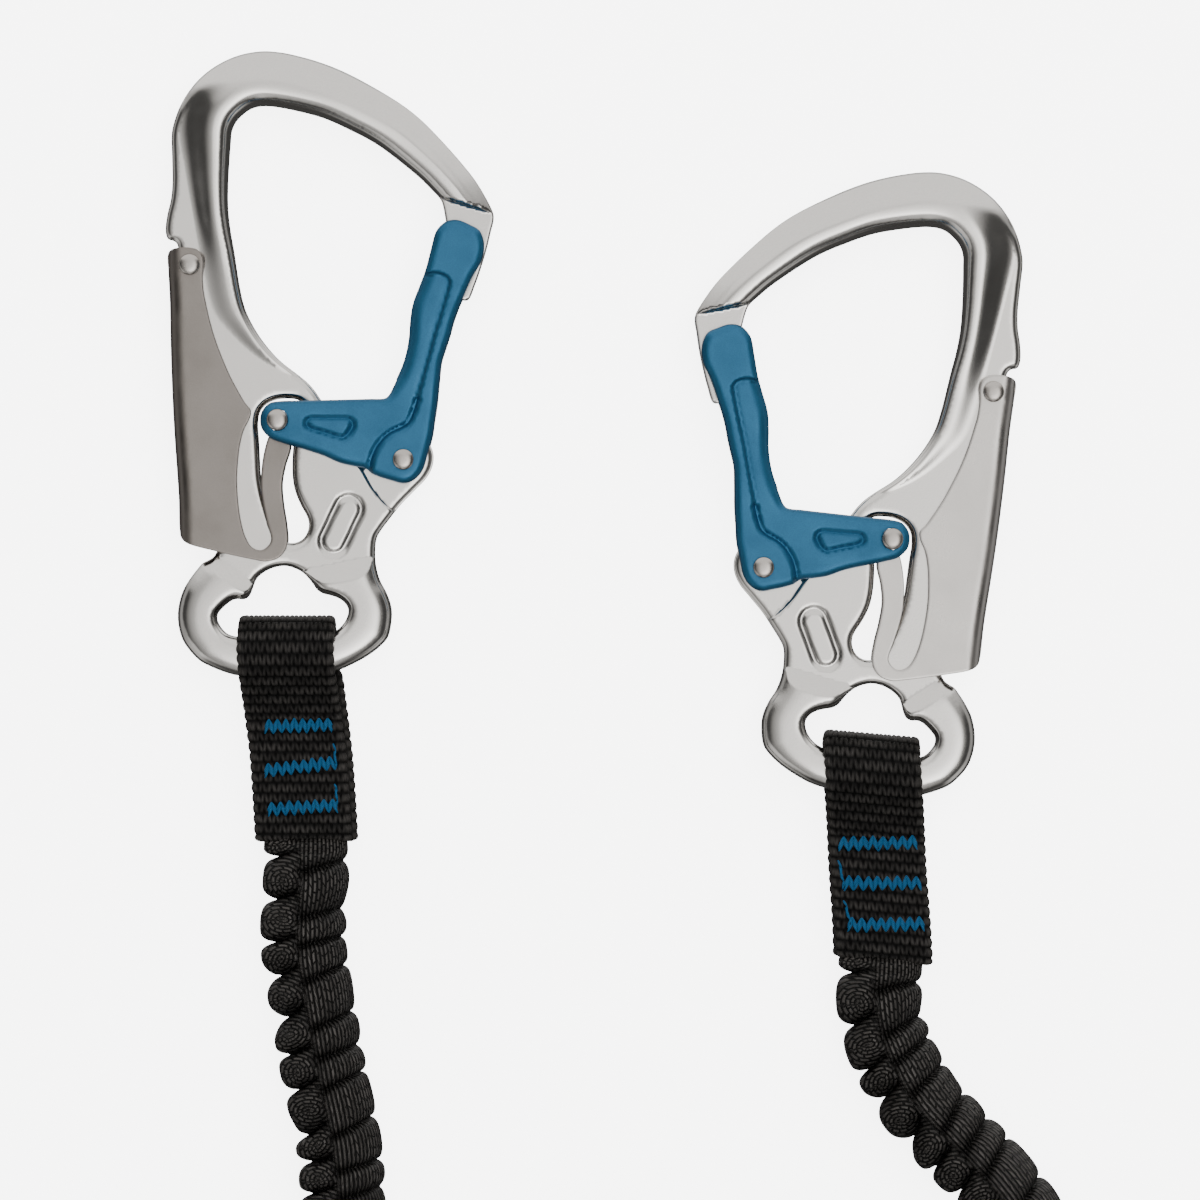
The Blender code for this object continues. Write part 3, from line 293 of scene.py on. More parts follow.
EYE_OPENING = (
    (236.5, 636.5), (228, 634), (222, 628.5), (217.5, 620), (218, 613.5), (222, 608.6), (227.5, 603.6),
    (233, 600), (238.5, 599), (243, 599.5), (248, 597.5), (251, 593), (253.6, 586), (256.5, 579),
    (262, 573.6), (270, 569), (278, 566.6), (286, 566), (294, 568), (302, 572), (308.5, 578),
    (313.5, 584.5), (317.5, 590), (323, 593.5), (330, 595.3), (338, 598), (344.5, 602.5), (348.3, 609),
    (347.5, 616), (344, 623), (337, 630), (326, 635), (300, 637), (265, 637.5),
)
PIN_SLOT = (
    (258, 424), (260, 412), (266, 404.5), (275, 400), (287, 398.5), (299, 400.5), (304, 407),
    (301, 420), (294.5, 440), (292.5, 462), (293, 479), (295.3, 491), (301, 505), (307, 516),
    (309, 523), (308, 531), (303.5, 538.5), (296, 542.5), (287, 542), (279.5, 534), (272, 517),
    (265, 497), (261, 477), (260, 460), (259, 440),
)
NOSE_SHOULDER = ((436.0, 197.4), (494.5, 214.8))
LEFT_RISE = ((218.0, 556.0), (252.0, 582.0))
RIGHT_RISE = ((320.0, 569.0), (376.0, 557.5))
PIVOT_STEP = (
    (345, 440), (358, 462), (363.5, 473), (371, 487), (380.5, 499.5), (391, 510), (420, 520),
    (450, 470), (430, 420), (380, 420),
)
GATE_RIVET_PIXEL = (403.8, 459.8)
PIVOT_BORE = 1.85 * MM
SPRING_POCKET = 3.4 * MM
SPRING_POCKET_FLOOR = 1.1 * MM
LEVER_RIVET_PIXEL = (190.3, 265.0)
LEVER_PIVOT_BORE = 1.55 * MM
PIVOT_STEP_DEPTH = 0.45 * MM
OVAL_ENDS = ((349.0, 509.0), (334.0, 541.0))
OVAL_RADIUS_PIXELS = 12.5
OVAL_HALF_PIXELS = 3.8
OVAL_DEPTH = 0.55 * MM
# Where the bow, the nose and the eye begin, in the photograph's pixels
BOW_LEFT, BOW_LOWEST = 330.0, 240.0
NOSE_LEFT, NOSE_LOWEST = 400.0, 320.0
EYE_MIDDLE, EYE_HIGHEST = 285.0, 540.0
TONGUE_EDGE = 0.35 * MM
TONGUE_BLEND = (-0.45 * MM, 0.05 * MM)
RING_BLEND, RAMP_BLEND = 0.2 * MM, 0.12 * MM
RIGHT_RAMP_START, RING_START = 0.3 * MM, -0.2 * MM
STEP_BLEND, STEP_LEAST = 0.1 * MM, 1.6 * MM
LEAST_BODY = 0.3 * MM


def mark(points):
    """Marks of the photograph's left connector in its own frame, its eye bar at the origin."""
    points = np.atleast_2d(np.asarray(points, float))
    return (points - EYE_BAR_PIXEL) * (PIXEL, -PIXEL)


def rounded_line(points, closed=True, parts=10):
    """A smooth curve through points (a centripetal spline), evenly enough sampled."""
    points = np.asarray(points, float)
    if closed:
        ring = np.vstack([points[-1:], points, points[:2]])
    else:
        ring = np.vstack([2 * points[0] - points[1], points, 2 * points[-1] - points[-2]])
    fine = []
    for index in range(len(ring) - 3):
        near = ring[index:index + 4]
        steps = [np.linalg.norm(after - before) ** 0.5 for before, after in zip(near, near[1:])]
        knots = np.cumsum([0.0] + steps)
        t = np.linspace(knots[1], knots[2], parts, endpoint=False)[:, None]

        def between(first, last, low, high):
            return ((knots[high] - t) * first + (t - knots[low]) * last) / (knots[high] - knots[low])

        a1, a2, a3 = (between(near[i], near[i + 1], i, i + 1) for i in range(3))
        fine.append(between(between(a1, a2, 0, 2), between(a2, a3, 1, 3), 1, 2))
    fine = np.vstack(fine)
    return np.vstack([fine, fine[:1] if closed else points[-1:]])


def line_length(line):
    return float(np.linalg.norm(np.diff(line, axis=0), axis=1).sum())


def along_line(line, places):
    """Points of a line at the given distances from its start, with the line's directions."""
    steps = np.linalg.norm(np.diff(line, axis=0), axis=1)
    reached = np.concatenate([[0.0], np.cumsum(steps)])
    small = reached[-1] / 2000

    def point_at(distances):
        return np.stack([np.interp(distances, reached, values) for values in line.T], 1)

    heading = point_at(places + small) - point_at(places - small)
    return point_at(places), heading / np.linalg.norm(heading, axis=1)[:, None]


def left_of(heading):
    """Directions a quarter turn to the left."""
    return np.stack([-heading[:, 1], heading[:, 0]], 1)


def closed_line(loop):
    return np.vstack([loop, loop[:1]])


def smoothstep(low, high, value):
    t = np.clip((value - low) / (high - low), 0.0, 1.0)
    return t * t * (3 - 2 * t)


def eased(values, reach):
    """Values smoothed over a number of neighbours on each side."""
    kernel = np.hanning(2 * reach + 1)
    padded = np.concatenate([np.full(reach, values[0]), values, np.full(reach, values[-1])])
    return np.convolve(padded, kernel / kernel.sum(), "valid")


def eased_table(value, places, values, ease):
    """A value looked up in a table whose corners are rounded over a distance."""
    grid = np.arange(places[0] - 4 * ease, places[-1] + 4 * ease, ease / 8)
    return np.interp(value, grid, eased(np.interp(grid, places, values), 16))


def new_piece(name, corners, faces, surface):
    """A mesh object of its own at the origin, smooth shaded, its faces turned outwards."""
    mesh = bpy.data.meshes.new(name)
    mesh.from_pydata([tuple(corner) for corner in corners], [], faces)
    shape = bmesh.new()
    shape.from_mesh(mesh)
    bmesh.ops.recalc_face_normals(shape, faces=shape.faces[:])
    shape.to_mesh(mesh)
    shape.free()
    if surface:
        mesh.materials.append(surface)
    mesh.shade_smooth()
    piece = bpy.data.objects.new(name, mesh)
    bpy.context.scene.collection.objects.link(piece)
    return piece


def evenly(line, step):
    """A closed line sampled at even steps, its last point left off."""
    count = max(8, int(round(line_length(line) / step)))
    return along_line(line, np.arange(count) * line_length(line) / count)[0]


AT_ONCE = 3000


def distance_to(line, places):
    """How far each place is from a line of straight pieces."""
    start, run = line[:-1], np.diff(line, axis=0)
    square = np.maximum((run**2).sum(1), 1e-18)
    found = np.empty(len(places))
    for first in range(0, len(places), AT_ONCE):
        offset = places[first:first + AT_ONCE, None, :] - start[None]
        share = np.clip((offset * run).sum(2) / square, 0.0, 1.0)
        gap = offset - share[..., None] * run
        found[first:first + AT_ONCE] = np.sqrt((gap**2).sum(2).min(1))
    return found


def is_inside(loop, places):
    """Which places lie inside a closed line."""
    x1, y1 = loop[:-1, 0], loop[:-1, 1]
    x2, y2 = loop[1:, 0], loop[1:, 1]
    found = np.empty(len(places), bool)
    for first in range(0, len(places), AT_ONCE):
        x = places[first:first + AT_ONCE, 0][:, None]
        y = places[first:first + AT_ONCE, 1][:, None]
        crosses = (y1 > y) != (y2 > y)
        reach = x1 + (y - y1) / np.where(y2 == y1, 1e-12, y2 - y1) * (x2 - x1)
        found[first:first + AT_ONCE] = (crosses & (x < reach)).sum(1) % 2 == 1
    return found


def rounding(edge, radius):
    """How far a rounded edge has dropped at a distance from the edge."""
    reach = np.clip(edge, 0.0, radius)
    return radius - np.sqrt(np.maximum(radius**2 - (radius - reach) ** 2, 0.0))


def soft_max(a, b, width):
    share = np.clip(0.5 + (a - b) / (2 * width), 0.0, 1.0)
    return b + (a - b) * share + width * share * (1 - share)


def soft_min(a, b, width):
    return -soft_max(-a, -b, width)


def circle(centre, radius, parts):
    turns = np.arange(parts) / parts * math.tau
    return np.stack([centre[0] + np.cos(turns) * radius, centre[1] + np.sin(turns) * radius], 1)


def prism_cutter(name, outline, half):
    """A closed block over an outline, for cutting."""
    count = len(outline)
    corners = [(x, y, -half) for x, y in outline] + [(x, y, half) for x, y in outline]
    faces = [tuple(range(count)), tuple(range(count, 2 * count))]
    faces += [(i, (i + 1) % count, (i + 1) % count + count, i + count) for i in range(count)]
    return new_piece(name, corners, faces, None)


def applied(piece):
    """A piece with its modifiers worked into its mesh."""
    evaluated = piece.evaluated_get(bpy.context.evaluated_depsgraph_get())
    mesh = bpy.data.meshes.new_from_object(evaluated)
    piece.modifiers.clear()
    piece.data = mesh
    return piece


def cut(piece, cutter):
    """Cuts a mesh object with another, which goes."""
    modifier = piece.modifiers.new("cut", "BOOLEAN")
    modifier.operation = "DIFFERENCE"
    modifier.solver = "EXACT"
    modifier.object = cutter
    applied(piece)
    bpy.data.objects.remove(cutter, do_unlink=True)


def shape_of(piece):
    """The corners and faces of a working piece, which goes."""
    corners = [tuple(vertex.co) for vertex in piece.data.vertices]
    faces = [tuple(face.vertices) for face in piece.data.polygons]
    bpy.data.objects.remove(piece, do_unlink=True)
    return corners, faces


def crested(share, crest):
    """How far from the crest a place lies, 0 to 1, when the crest isn't half way across."""
    return np.where(share < crest, (crest - share) / crest, (share - crest) / (1 - crest))


RING_DEPTHS = (0.07 * MM, 0.2 * MM, 0.42 * MM, 0.75 * MM, 1.15 * MM)
CREASE_HALF, CREASE_MARGIN = 0.09 * MM, 0.2 * MM
# Shares of the grid's step: rows of its triangles, places along a crease, and empty margins
GRID_ROW, CREASE_STEP, EDGE_MARGIN, CREASE_ROOM = 0.866, 0.6, 0.5, 0.45


def relief(loops, height, creases=(), grid=GRID_STEP, depths=RING_DEPTHS):
    """Corners and faces of a closed body: a height over outlines, mirrored below."""
    closed = [closed_line(loop) for loop in loops]

    def within(places):
        kept = is_inside(closed[0], places)
        for hole in closed[1:]:
            kept &= ~is_inside(hole, places)
        return kept

    def edge_of(places):
        return np.min([distance_to(line, places) for line in closed], axis=0)

    def kept_row(row, least):
        row = row[within(row)]
        return [row[edge_of(row) > least]] if len(row) else []

    inner, crease_rows = [], []
    for loop in loops:
        heading = np.roll(loop, -1, 0) - np.roll(loop, 1, 0)
        normal = left_of(heading) / np.linalg.norm(heading, axis=1)[:, None]
        for depth in depths:
            for side in (-1, 1):
                inner += kept_row(loop + normal * depth * side, depth * 0.97)
    for crease in creases:
        count = max(2, int(line_length(crease) / (grid * CREASE_STEP)))
        at, heading = along_line(crease, np.linspace(0, line_length(crease), count))
        for side in (-CREASE_HALF, CREASE_HALF):
            crease_rows += kept_row(at + left_of(heading) * side, CREASE_MARGIN)
    low, high = closed[0].min(0), closed[0].max(0)
    rows = np.arange(low[1], high[1], grid * GRID_ROW)
    x, y = np.meshgrid(np.arange(low[0], high[0], grid), rows)
    x[1::2] += grid / 2
    field = np.stack([x.ravel(), y.ravel()], 1)
    field = field[within(field)]
    field = field[edge_of(field) > depths[-1] + grid * EDGE_MARGIN]
    for row in crease_rows:
        if len(row) > 1:
            field = field[distance_to(row, field) > grid * CREASE_ROOM]
    places = np.vstack([*loops, *inner, *crease_rows, field])
    edges, first = [], 0
    for loop in loops:
        count = len(loop)
        edges += [(first + i, first + (i + 1) % count) for i in range(count)]
        first += count
    found = delaunay_2d_cdt([Vector(place) for place in places], edges, [], 0, 1e-7)
    flat = np.array([tuple(place) for place in found[0]])
    faces = np.array(found[2], np.int64)
    faces = faces[within(flat[faces].mean(1))]
    used = np.unique(faces)
    number = np.full(len(flat), -1)
    number[used] = np.arange(len(used))
    flat, faces = flat[used], number[faces]
    rise = height(flat)
    count = len(flat)
    corners = np.vstack([np.column_stack([flat, rise]), np.column_stack([flat, -rise])])
    turned = faces[:, ::-1] + count
    known = {tuple(side) for side in np.vstack([faces[:, [0, 1]], faces[:, [1, 2]], faces[:, [2, 0]]])}
    walls = [(b, a, a + count, b + count) for a, b in known if (b, a) not in known]
    return corners, faces.tolist() + turned.tolist() + [tuple(wall) for wall in walls]


def signed_side(ends, places):
    """Distance past a line given by two marks, positive on its lower side."""
    start, end = mark(ends)
    along = (end - start) / np.linalg.norm(end - start)
    offset = places - start
    return -(offset[:, 1] * along[0] - offset[:, 0] * along[1])


def smooth_loop(points):
    """A closed outline through marks, evenly sampled."""
    return evenly(rounded_line(mark(points)), OUTLINE_STEP)


def bar_area(outer, inner):
    """The bar's area, its edges pushed apart so that the outline's own rim counts as bar."""
    middle = mark(BOW_MIDDLE)[0]
    sides = []
    for line, reach in ((outer, BOW_MARGIN), (inner, -BOW_MARGIN)):
        away = line - middle
        above = 1 - smoothstep(*MARGIN_PIXELS, EYE_BAR_PIXEL[1] - line[:, 1] / PIXEL)
        away = away / np.linalg.norm(away, axis=1)[:, None] * reach
        sides.append(line + away * (above[:, None] if reach > 0 else 1.0))
    return closed_line(np.vstack([sides[0], sides[1][::-1]]))


def body_shape():
    loops = [smooth_loop(points) for points in (BODY_OUTLINE, EYE_OPENING, PIN_SLOT)]
    closed = [closed_line(loop) for loop in loops]
    bar_outer = rounded_line(mark(BAR_OUTER_EDGE), closed=False)
    bar_inner = rounded_line(mark(BAR_INNER_EDGE), closed=False)
    bar = bar_area(bar_outer, bar_inner)
    bores = (
        circle(mark(GATE_RIVET_PIXEL)[0], PIVOT_BORE, 36),
        circle(mark(LEVER_RIVET_PIXEL)[0], LEVER_PIVOT_BORE, 32),
    )
    pivot_step = closed_line(mark(PIVOT_STEP))

    def height(places):
        edges = [distance_to(line, places) for line in closed]
        edge = np.min(edges, axis=0)
        web = HALF_WEB - rounding(edge, WEB_EDGE)
        pixel_x = EYE_BAR_PIXEL[0] + places[:, 0] / PIXEL
        pixel_y = EYE_BAR_PIXEL[1] - places[:, 1] / PIXEL

        # the bar, with its crest nearer its inner edge, flattening towards the web
        out, inn = distance_to(bar_outer, places), distance_to(bar_inner, places)
        crest = eased_table(pixel_y, BAR_CREST_PIXELS, BAR_CREST_SHARES, TABLE_EASE)
        bow = smoothstep(*BOW_START, pixel_x) * (pixel_y < BOW_LOWEST)
        bow_crest = eased_table(pixel_x, BOW_CREST_PIXELS, BOW_CREST_SHARES, TABLE_EASE)
        crest = crest + (bow_crest - crest) * bow
        way_in = out / (out + inn)
        share = crested(way_in, crest)
        full = HALF_BAR * eased_table(pixel_y, BAR_FADE_PIXELS, BAR_FADE_SHARES, TABLE_EASE)
        low_part = (pixel_y > BOW_LOWEST) & (places[:, 0] > mark((BOW_LEFT, 0.0))[0, 0])
        full = np.where(low_part, HALF_BAR, full)
        outer_side = way_in < crest
        flank = np.where(outer_side, np.cos(share * math.pi / 2) ** 2, 1 - share**CROWN_INNER)
        crown = HALF_WEB + (full - HALF_WEB) * flank - rounding(edge, WEB_EDGE)
        alone = np.where(low_part, 1.0, 1 - smoothstep(*CROWN_PIXELS, pixel_y))
        inner_square = BAR_SQUARENESS + (BOW_INNER - BAR_SQUARENESS) * bow
        square = np.where(outer_side, BAR_SQUARENESS, inner_square)
        round_bar = full * np.clip(1 - share**square, 0, 1) ** (1 / square)
        round_bar = crown + (round_bar - crown) * alone
        hollow = np.exp(-(((way_in - HOLLOW_SHARE) / HOLLOW_WIDTH) ** 2))
        round_bar = round_bar - HOLLOW_DEPTH * hollow * smoothstep(*HOLLOW_PIXELS, pixel_x)

        # the nose, which ends in a thin tongue
        past_nose = signed_side(NOSE_SHOULDER, places)
        at_nose = places[:, 0] > mark((NOSE_LEFT, 0.0))[0, 0]
        rise = np.where(is_inside(bar, places) & ~(at_nose & (past_nose > 0)), round_bar, web)
        tongue = HALF_TONGUE - rounding(edge, TONGUE_EDGE)
        near = smoothstep(*TONGUE_BLEND, past_nose)
        at_tip = at_nose & (pixel_y < NOSE_LOWEST)
        rise = np.where(at_tip, rise * (1 - near) + tongue * near, rise)

        # the eye's ring, which rises from the web by a ramp on either side
        ring_share = crested(edges[0] / (edges[0] + edges[1]), EYE_CREST_SHARE)
        ring = HALF_EYE * np.clip(1 - ring_share**EYE_SQUARENESS, 0, 1) ** (1 / EYE_SQUARENESS)
        left, right = signed_side(LEFT_RISE, places), signed_side(RIGHT_RISE, places)
        is_left = places[:, 0] < mark((EYE_MIDDLE, 0.0))[0, 0]
        ramp_left = HALF_WEB + LEFT_RAMP * np.clip(left, 0, None)
        ramp_right = HALF_WEB + RIGHT_RAMP * np.clip(right + RIGHT_RAMP_START, 0, None)
        ramp = np.where(is_left, ramp_left, ramp_right)
        eye_rise = soft_min(soft_max(ring, web, RING_BLEND), ramp, RAMP_BLEND)
        past = np.where(is_left, left, right)
        eye_rise = np.where(past > 0, eye_rise, np.minimum(eye_rise, web))
        rise = np.where((pixel_y > EYE_HIGHEST) & (past > RING_START), eye_rise, rise)

        # the step down round the gate's pivot, and the sunk oval on the web
        inward = np.where(is_inside(pivot_step, places), 1, -1) * distance_to(pivot_step, places)
        step = smoothstep(-STEP_BLEND, STEP_BLEND, inward)
        rise = rise - PIVOT_STEP_DEPTH * step * (rise > STEP_LEAST)
        oval = np.abs(distance_to(mark(OVAL_ENDS), places) / PIXEL - OVAL_RADIUS_PIXELS)
        oval = np.minimum(oval / OVAL_HALF_PIXELS, 1.0)
        rise = rise - OVAL_DEPTH * np.cos(oval * math.pi / 2) ** 1.5
        return np.maximum(rise, LEAST_BODY)

    creases = [
        mark(NOSE_SHOULDER), mark(LEFT_RISE), mark(PIVOT_STEP[:7]),
        rounded_line(mark(BAR_OUTER_EDGE[20:]), closed=False),
    ]
    return relief((*loops, *bores), height, creases)


def pocketed_body():
    """The forging with the spring's pocket sunk round the gate's pivot."""
    work = new_piece("body_work", *body_shape(), None)
    pocket = prism_cutter("pocket", circle(mark(GATE_RIVET_PIXEL)[0], SPRING_POCKET, 60), HALF_BAR)
    pocket.data.transform(Matrix.Translation((0.0, 0.0, SPRING_POCKET_FLOOR - HALF_WEB + HALF_BAR)))
    cut(work, pocket)
    return shape_of(work)


def effect_group(name, inputs, outputs):
    """An empty shader node group with named sockets, what it is given, and its end."""
    group = bpy.data.node_groups.new(name, "ShaderNodeTree")
    for way, sockets in (("INPUT", inputs), ("OUTPUT", outputs)):
        for socket, kind in sockets.items():
            group.interface.new_socket(name=socket, in_out=way, socket_type="NodeSocket" + kind)
    return group, group.nodes.new("NodeGroupInput").outputs, group.nodes.new("NodeGroupOutput")


def placed(tree, group, **values):
    """A node group placed in a material, with its own values."""
    node = tree.nodes.new("ShaderNodeGroup")
    node.node_tree = group
    return feed(tree, node, **values).outputs


def colour_between(tree, share, low, high):
    """A colour mixed from two, each a socket or a fixed colour."""
    mix = add(tree, "Mix")
    mix.data_type = "RGBA"
    tree.links.new(share, mix.inputs["Factor"])
    for number, colour in ((6, low), (7, high)):
        if isinstance(colour, bpy.types.NodeSocket):
            tree.links.new(colour, mix.inputs[number])
        else:
            mix.inputs[number].default_value = (*colour, 1.0)
    return mix.outputs[2]


def own_place(tree):
    """A point's place on its object."""
    return add(tree, "TexCoord").outputs["Object"]


def map_of(tree, name):
    """A piece's own UV map."""
    node = add(tree, "UVMap")
    node.uv_map = name
    return node.outputs[0]


def share_of(tree, name):
    """A piece's own attribute."""
    node = add(tree, "Attribute")
    node.attribute_name = name
    return node.outputs["Fac"]


def bumped(tree, height, strength, distance, **base):
    """The surface's direction under a relief, over another one if it is given."""
    return add(tree, "Bump", Height=height, Strength=strength, Distance=distance, **base).outputs[0]


def metal_grain():
    """The grain and uneven shine of tumbled or rolled metal."""
    group, given, made = effect_group(
        "metal_grain", {"Dark": "Color", "Light": "Color", "Roughness": "Float", "Grain": "Float"},
        {"Colour": "Color", "Roughness": "Float", "Height": "Float"},
    )
    place = own_place(group)
    fine = add(group, "TexNoise", Vector=place, Scale=given["Grain"], Detail=4.0, Roughness=0.6)
    broad = add(group, "TexNoise", Vector=place, Scale=130.0, Detail=3.0).outputs["Fac"]
    shine = add(group, "MapRange", Value=broad, From_Min=0.3, From_Max=0.7, To_Min=0.8, To_Max=1.25)
    fine = fine.outputs["Fac"]
    feed(
        group, made, Colour=colour_between(group, fine, given["Dark"], given["Light"]), Height=fine,
        Roughness=maths(group, "MULTIPLY", shine.outputs[0], given["Roughness"]),
    )
    return group


METAL_GRAIN = metal_grain()
GRAIN_DEPTH, BLASTED_DEPTH = 0.02 * MM, 0.03 * MM


def grained_metal(name, colour, roughness, grain, scratches, shades=(0.86, 1.0), metallic=1.0):
    """Metal with a fine grain between two shades of its colour, and uneven shine."""
    surface, tree, shader = shader_of(name)
    dark, light = ((*[value * shade for value in colour], 1.0) for shade in shades)
    worn = placed(tree, METAL_GRAIN, Dark=dark, Light=light, Roughness=roughness, Grain=grain)
    depth = GRAIN_DEPTH if metallic == 1.0 else BLASTED_DEPTH
    feed(
        tree, shader, Metallic=metallic, Base_Color=worn["Colour"], Roughness=worn["Roughness"],
        Normal=bumped(tree, worn["Height"], scratches, depth),
    )
    return surface


# Where each connector's ring and its webbing lie: place in the picture, and turn
RING_HEIGHT = 7.9 * MM
RING_FRAMES = {
    "left": (-62.2 * MM, 96.4 * MM, 0.0),
    "right": (52.5 * MM, 73.0 * MM, math.radians(-5.0)),
}


def ring_place(side):
    x, y, turn = RING_FRAMES[side]
    return Matrix.Translation((x, y, RING_HEIGHT)) @ Matrix.Rotation(turn, 4, "Z")


CONNECTOR_PLACES = {
    "left": ring_place("left"), "right": ring_place("right") @ Matrix.Rotation(math.pi, 4, "Y"),
}


def fixed(piece, body, node=None):
    """Fixes a piece to a body and the CAD node that it stands for."""
    if body:
        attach(piece, body)
    if node:
        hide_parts(node)
    return piece


def both_connectors(name, shape, surface, body):
    """A piece of each connector from one shape, the right connector lying turned over."""
    made = {}
    for side, place in CONNECTOR_PLACES.items():
        finish = surface[side] if isinstance(surface, dict) else surface
        piece = new_piece(side + "_" + name, *shape, finish)
        piece.data.transform(place)
        made[side] = fixed(piece, body and side + "_" + body, side + "_" + name)
    return made


aluminium = grained_metal("forged_aluminium", (0.83, 0.815, 0.79), 0.17, 2600.0, 0.25)
both_connectors("connector_body", pocketed_body(), aluminium, "connector")

# Gates
# Each gate is a blue anodised forging in an L: a raised head and right strip with the pivot's
# disc, a lower strip and arm beside them, and slots through it for the body and the lever.
LOCK_PIN_PIXEL = (278.3, 420.3)
HALF_GATE = 6.6 * MM
GATE_STEP = 0.75 * MM
GATE_EDGE = 1.5 * MM
GATE_STRIP_EDGE = 2.6 * MM
GATE_NECK = 9.2 * MM
HALF_ARM_GAP = 4.1 * MM
HALF_NECK_GAP = 2.8 * MM
HALF_HEAD_GAP = 2.3 * MM
SLIDE_GAP = 0.3 * MM
GATE_RIVET_HOLE = 1.85 * MM
LOCK_PIN_HOLE = 2.15 * MM
GATE_OUTLINE = (
    (270, 403.5), (280, 401.5), (300, 401), (340, 400), (370, 399.2), (385.5, 398.5), (389.5, 395),
    (396, 381), (403, 365), (407, 351), (409.3, 337), (410.3, 323), (413, 305), (420, 286), (426, 270),
    (431, 251), (436, 233), (440.8, 226.5), (447, 222), (454, 220.6), (461, 221.5), (470, 225.5),
    (479.5, 231), (483.5, 240), (484.3, 250), (481, 263), (475, 273), (469, 285), (464.5, 295.5),
    (459, 308), (454, 322), (450.5, 335), (446, 349), (442, 362), (440, 379), (437.7, 403), (435, 421),
    (433, 435), (428, 454), (424, 468), (419, 476), (411, 482), (403, 483.5), (393, 481), (380, 477),
    (372, 473.5), (366.5, 469), (352, 466), (340, 463), (323, 455.5), (300, 448.2), (284, 443.5),
    (272, 439), (266, 434), (262, 428), (260.8, 420), (262.7, 411.5),
)
HIGH_PART = (
    (400, 240), (426, 273), (434, 272.5), (442, 274), (448, 277), (451, 282.5), (449.5, 291),
    (435, 340), (424.5, 379), (415, 411), (411, 421), (404, 427.5), (391, 433.5), (382, 441.5),
    (375, 452), (371.5, 464), (370, 480), (375, 500), (460, 500), (520, 300), (500, 200), (430, 200),
)
DISC_GROOVE = (
    (418, 400), (413, 415), (408, 424), (391, 433), (382, 441), (374.5, 453), (371, 466), (370, 480),
)
TRAPEZOID_GROOVE = (
    (311, 419.3), (325, 419.2), (340, 419.2), (348.5, 419.5), (352, 421.5), (353.5, 425.5), (351, 431),
    (347, 436), (343, 438.2), (338, 437.3), (325, 433.2), (313, 429.8), (308.8, 427.5), (307.3, 424),
    (308.3, 420.8),
)
GROOVE_HALF_WIDTH = 0.7 * MM
TRAPEZOID_DEPTH = 0.9 * MM
DISC_GROOVE_DEPTH = 1.05 * MM
STRIP_END_PIXELS = (375.0, 410.0)
STRIP_HOLLOW, STRIP_HOLLOW_SHARE = 1.6 * MM, 0.45
GATE_STEP_BLEND = (-0.35 * MM, 0.12 * MM)
HIGH_EDGE, HIGH_EDGE_START, HIGH_EDGE_SHARE = 0.5 * MM, 0.1 * MM, 0.4
GATE_MOST_FALL = 2.6 * MM
ARM_GAP_MARKS = ((240.0, 380.0), (398.0, 380.0), (398.0, 500.0), (240.0, 500.0))
HEAD_GAP_MARKS = (
    (425.0, 190.0), (520.0, 190.0), (520.0, 305.0), (452.0, 305.0), (444.0, 250.0),
)


def gate_shape():
    outline = smooth_loop(GATE_OUTLINE)
    rivet_hole = circle(mark(GATE_RIVET_PIXEL)[0], GATE_RIVET_HOLE, 36)
    pin_hole = circle(mark(LOCK_PIN_PIXEL)[0], LOCK_PIN_HOLE, 36)
    closed = closed_line(outline)
    high_part = rounded_line(mark(HIGH_PART))
    disc_groove = rounded_line(mark(DISC_GROOVE), closed=False)
    trapezoid = rounded_line(mark(TRAPEZOID_GROOVE))

    def height(places):
        edge = distance_to(closed, places)
        past = np.where(is_inside(high_part, places), 1, -1) * distance_to(high_part, places)
        low = 1 - smoothstep(*GATE_STEP_BLEND, past)
        strip = low * (1 - smoothstep(*STRIP_END_PIXELS, EYE_BAR_PIXEL[1] - places[:, 1] / PIXEL))
        radius = GATE_EDGE + (GATE_STRIP_EDGE - GATE_EDGE) * strip
        top = HALF_GATE - GATE_STEP * low - rounding(np.minimum(edge, radius), radius)
        rounded = rounding(np.clip(past + HIGH_EDGE_START, 0.0, HIGH_EDGE), HIGH_EDGE)
        top = top - np.where(past > 0, rounded * HIGH_EDGE_SHARE, 0.0)
        hollow = rounding(np.clip(-past, 0.0, STRIP_HOLLOW), STRIP_HOLLOW) * strip
        top = top - np.where(past < 0, hollow * STRIP_HOLLOW_SHARE, 0.0)
        for line, depth in ((disc_groove, DISC_GROOVE_DEPTH), (trapezoid, TRAPEZOID_DEPTH)):
            near = np.minimum(distance_to(line, places) / GROOVE_HALF_WIDTH, 1.0)
            top = top - depth * np.cos(near * math.pi / 2) ** 1.2
        return np.maximum(top, HALF_GATE - GATE_MOST_FALL)

    return relief((outline, rivet_hole, pin_hole), height, [high_part, trapezoid, disc_groove])


def slotted_gate():
    """The gate with its slots, a wide one for the lever and body and narrow ones beside it."""
    work = new_piece("gate_work", *gate_shape(), None)
    pivot = mark(GATE_RIVET_PIXEL)[0]
    arm_gap = prism_cutter("arm_gap", mark(ARM_GAP_MARKS), HALF_ARM_GAP)
    cut(arm_gap, prism_cutter("neck", circle(pivot, GATE_NECK, 72), HALF_GATE))
    cut(work, arm_gap)
    cut(work, prism_cutter("neck_gap", circle(pivot, GATE_NECK + SLIDE_GAP, 72), HALF_NECK_GAP))
    cut(work, prism_cutter("head_gap", mark(HEAD_GAP_MARKS), HALF_HEAD_GAP))
    return shape_of(work)


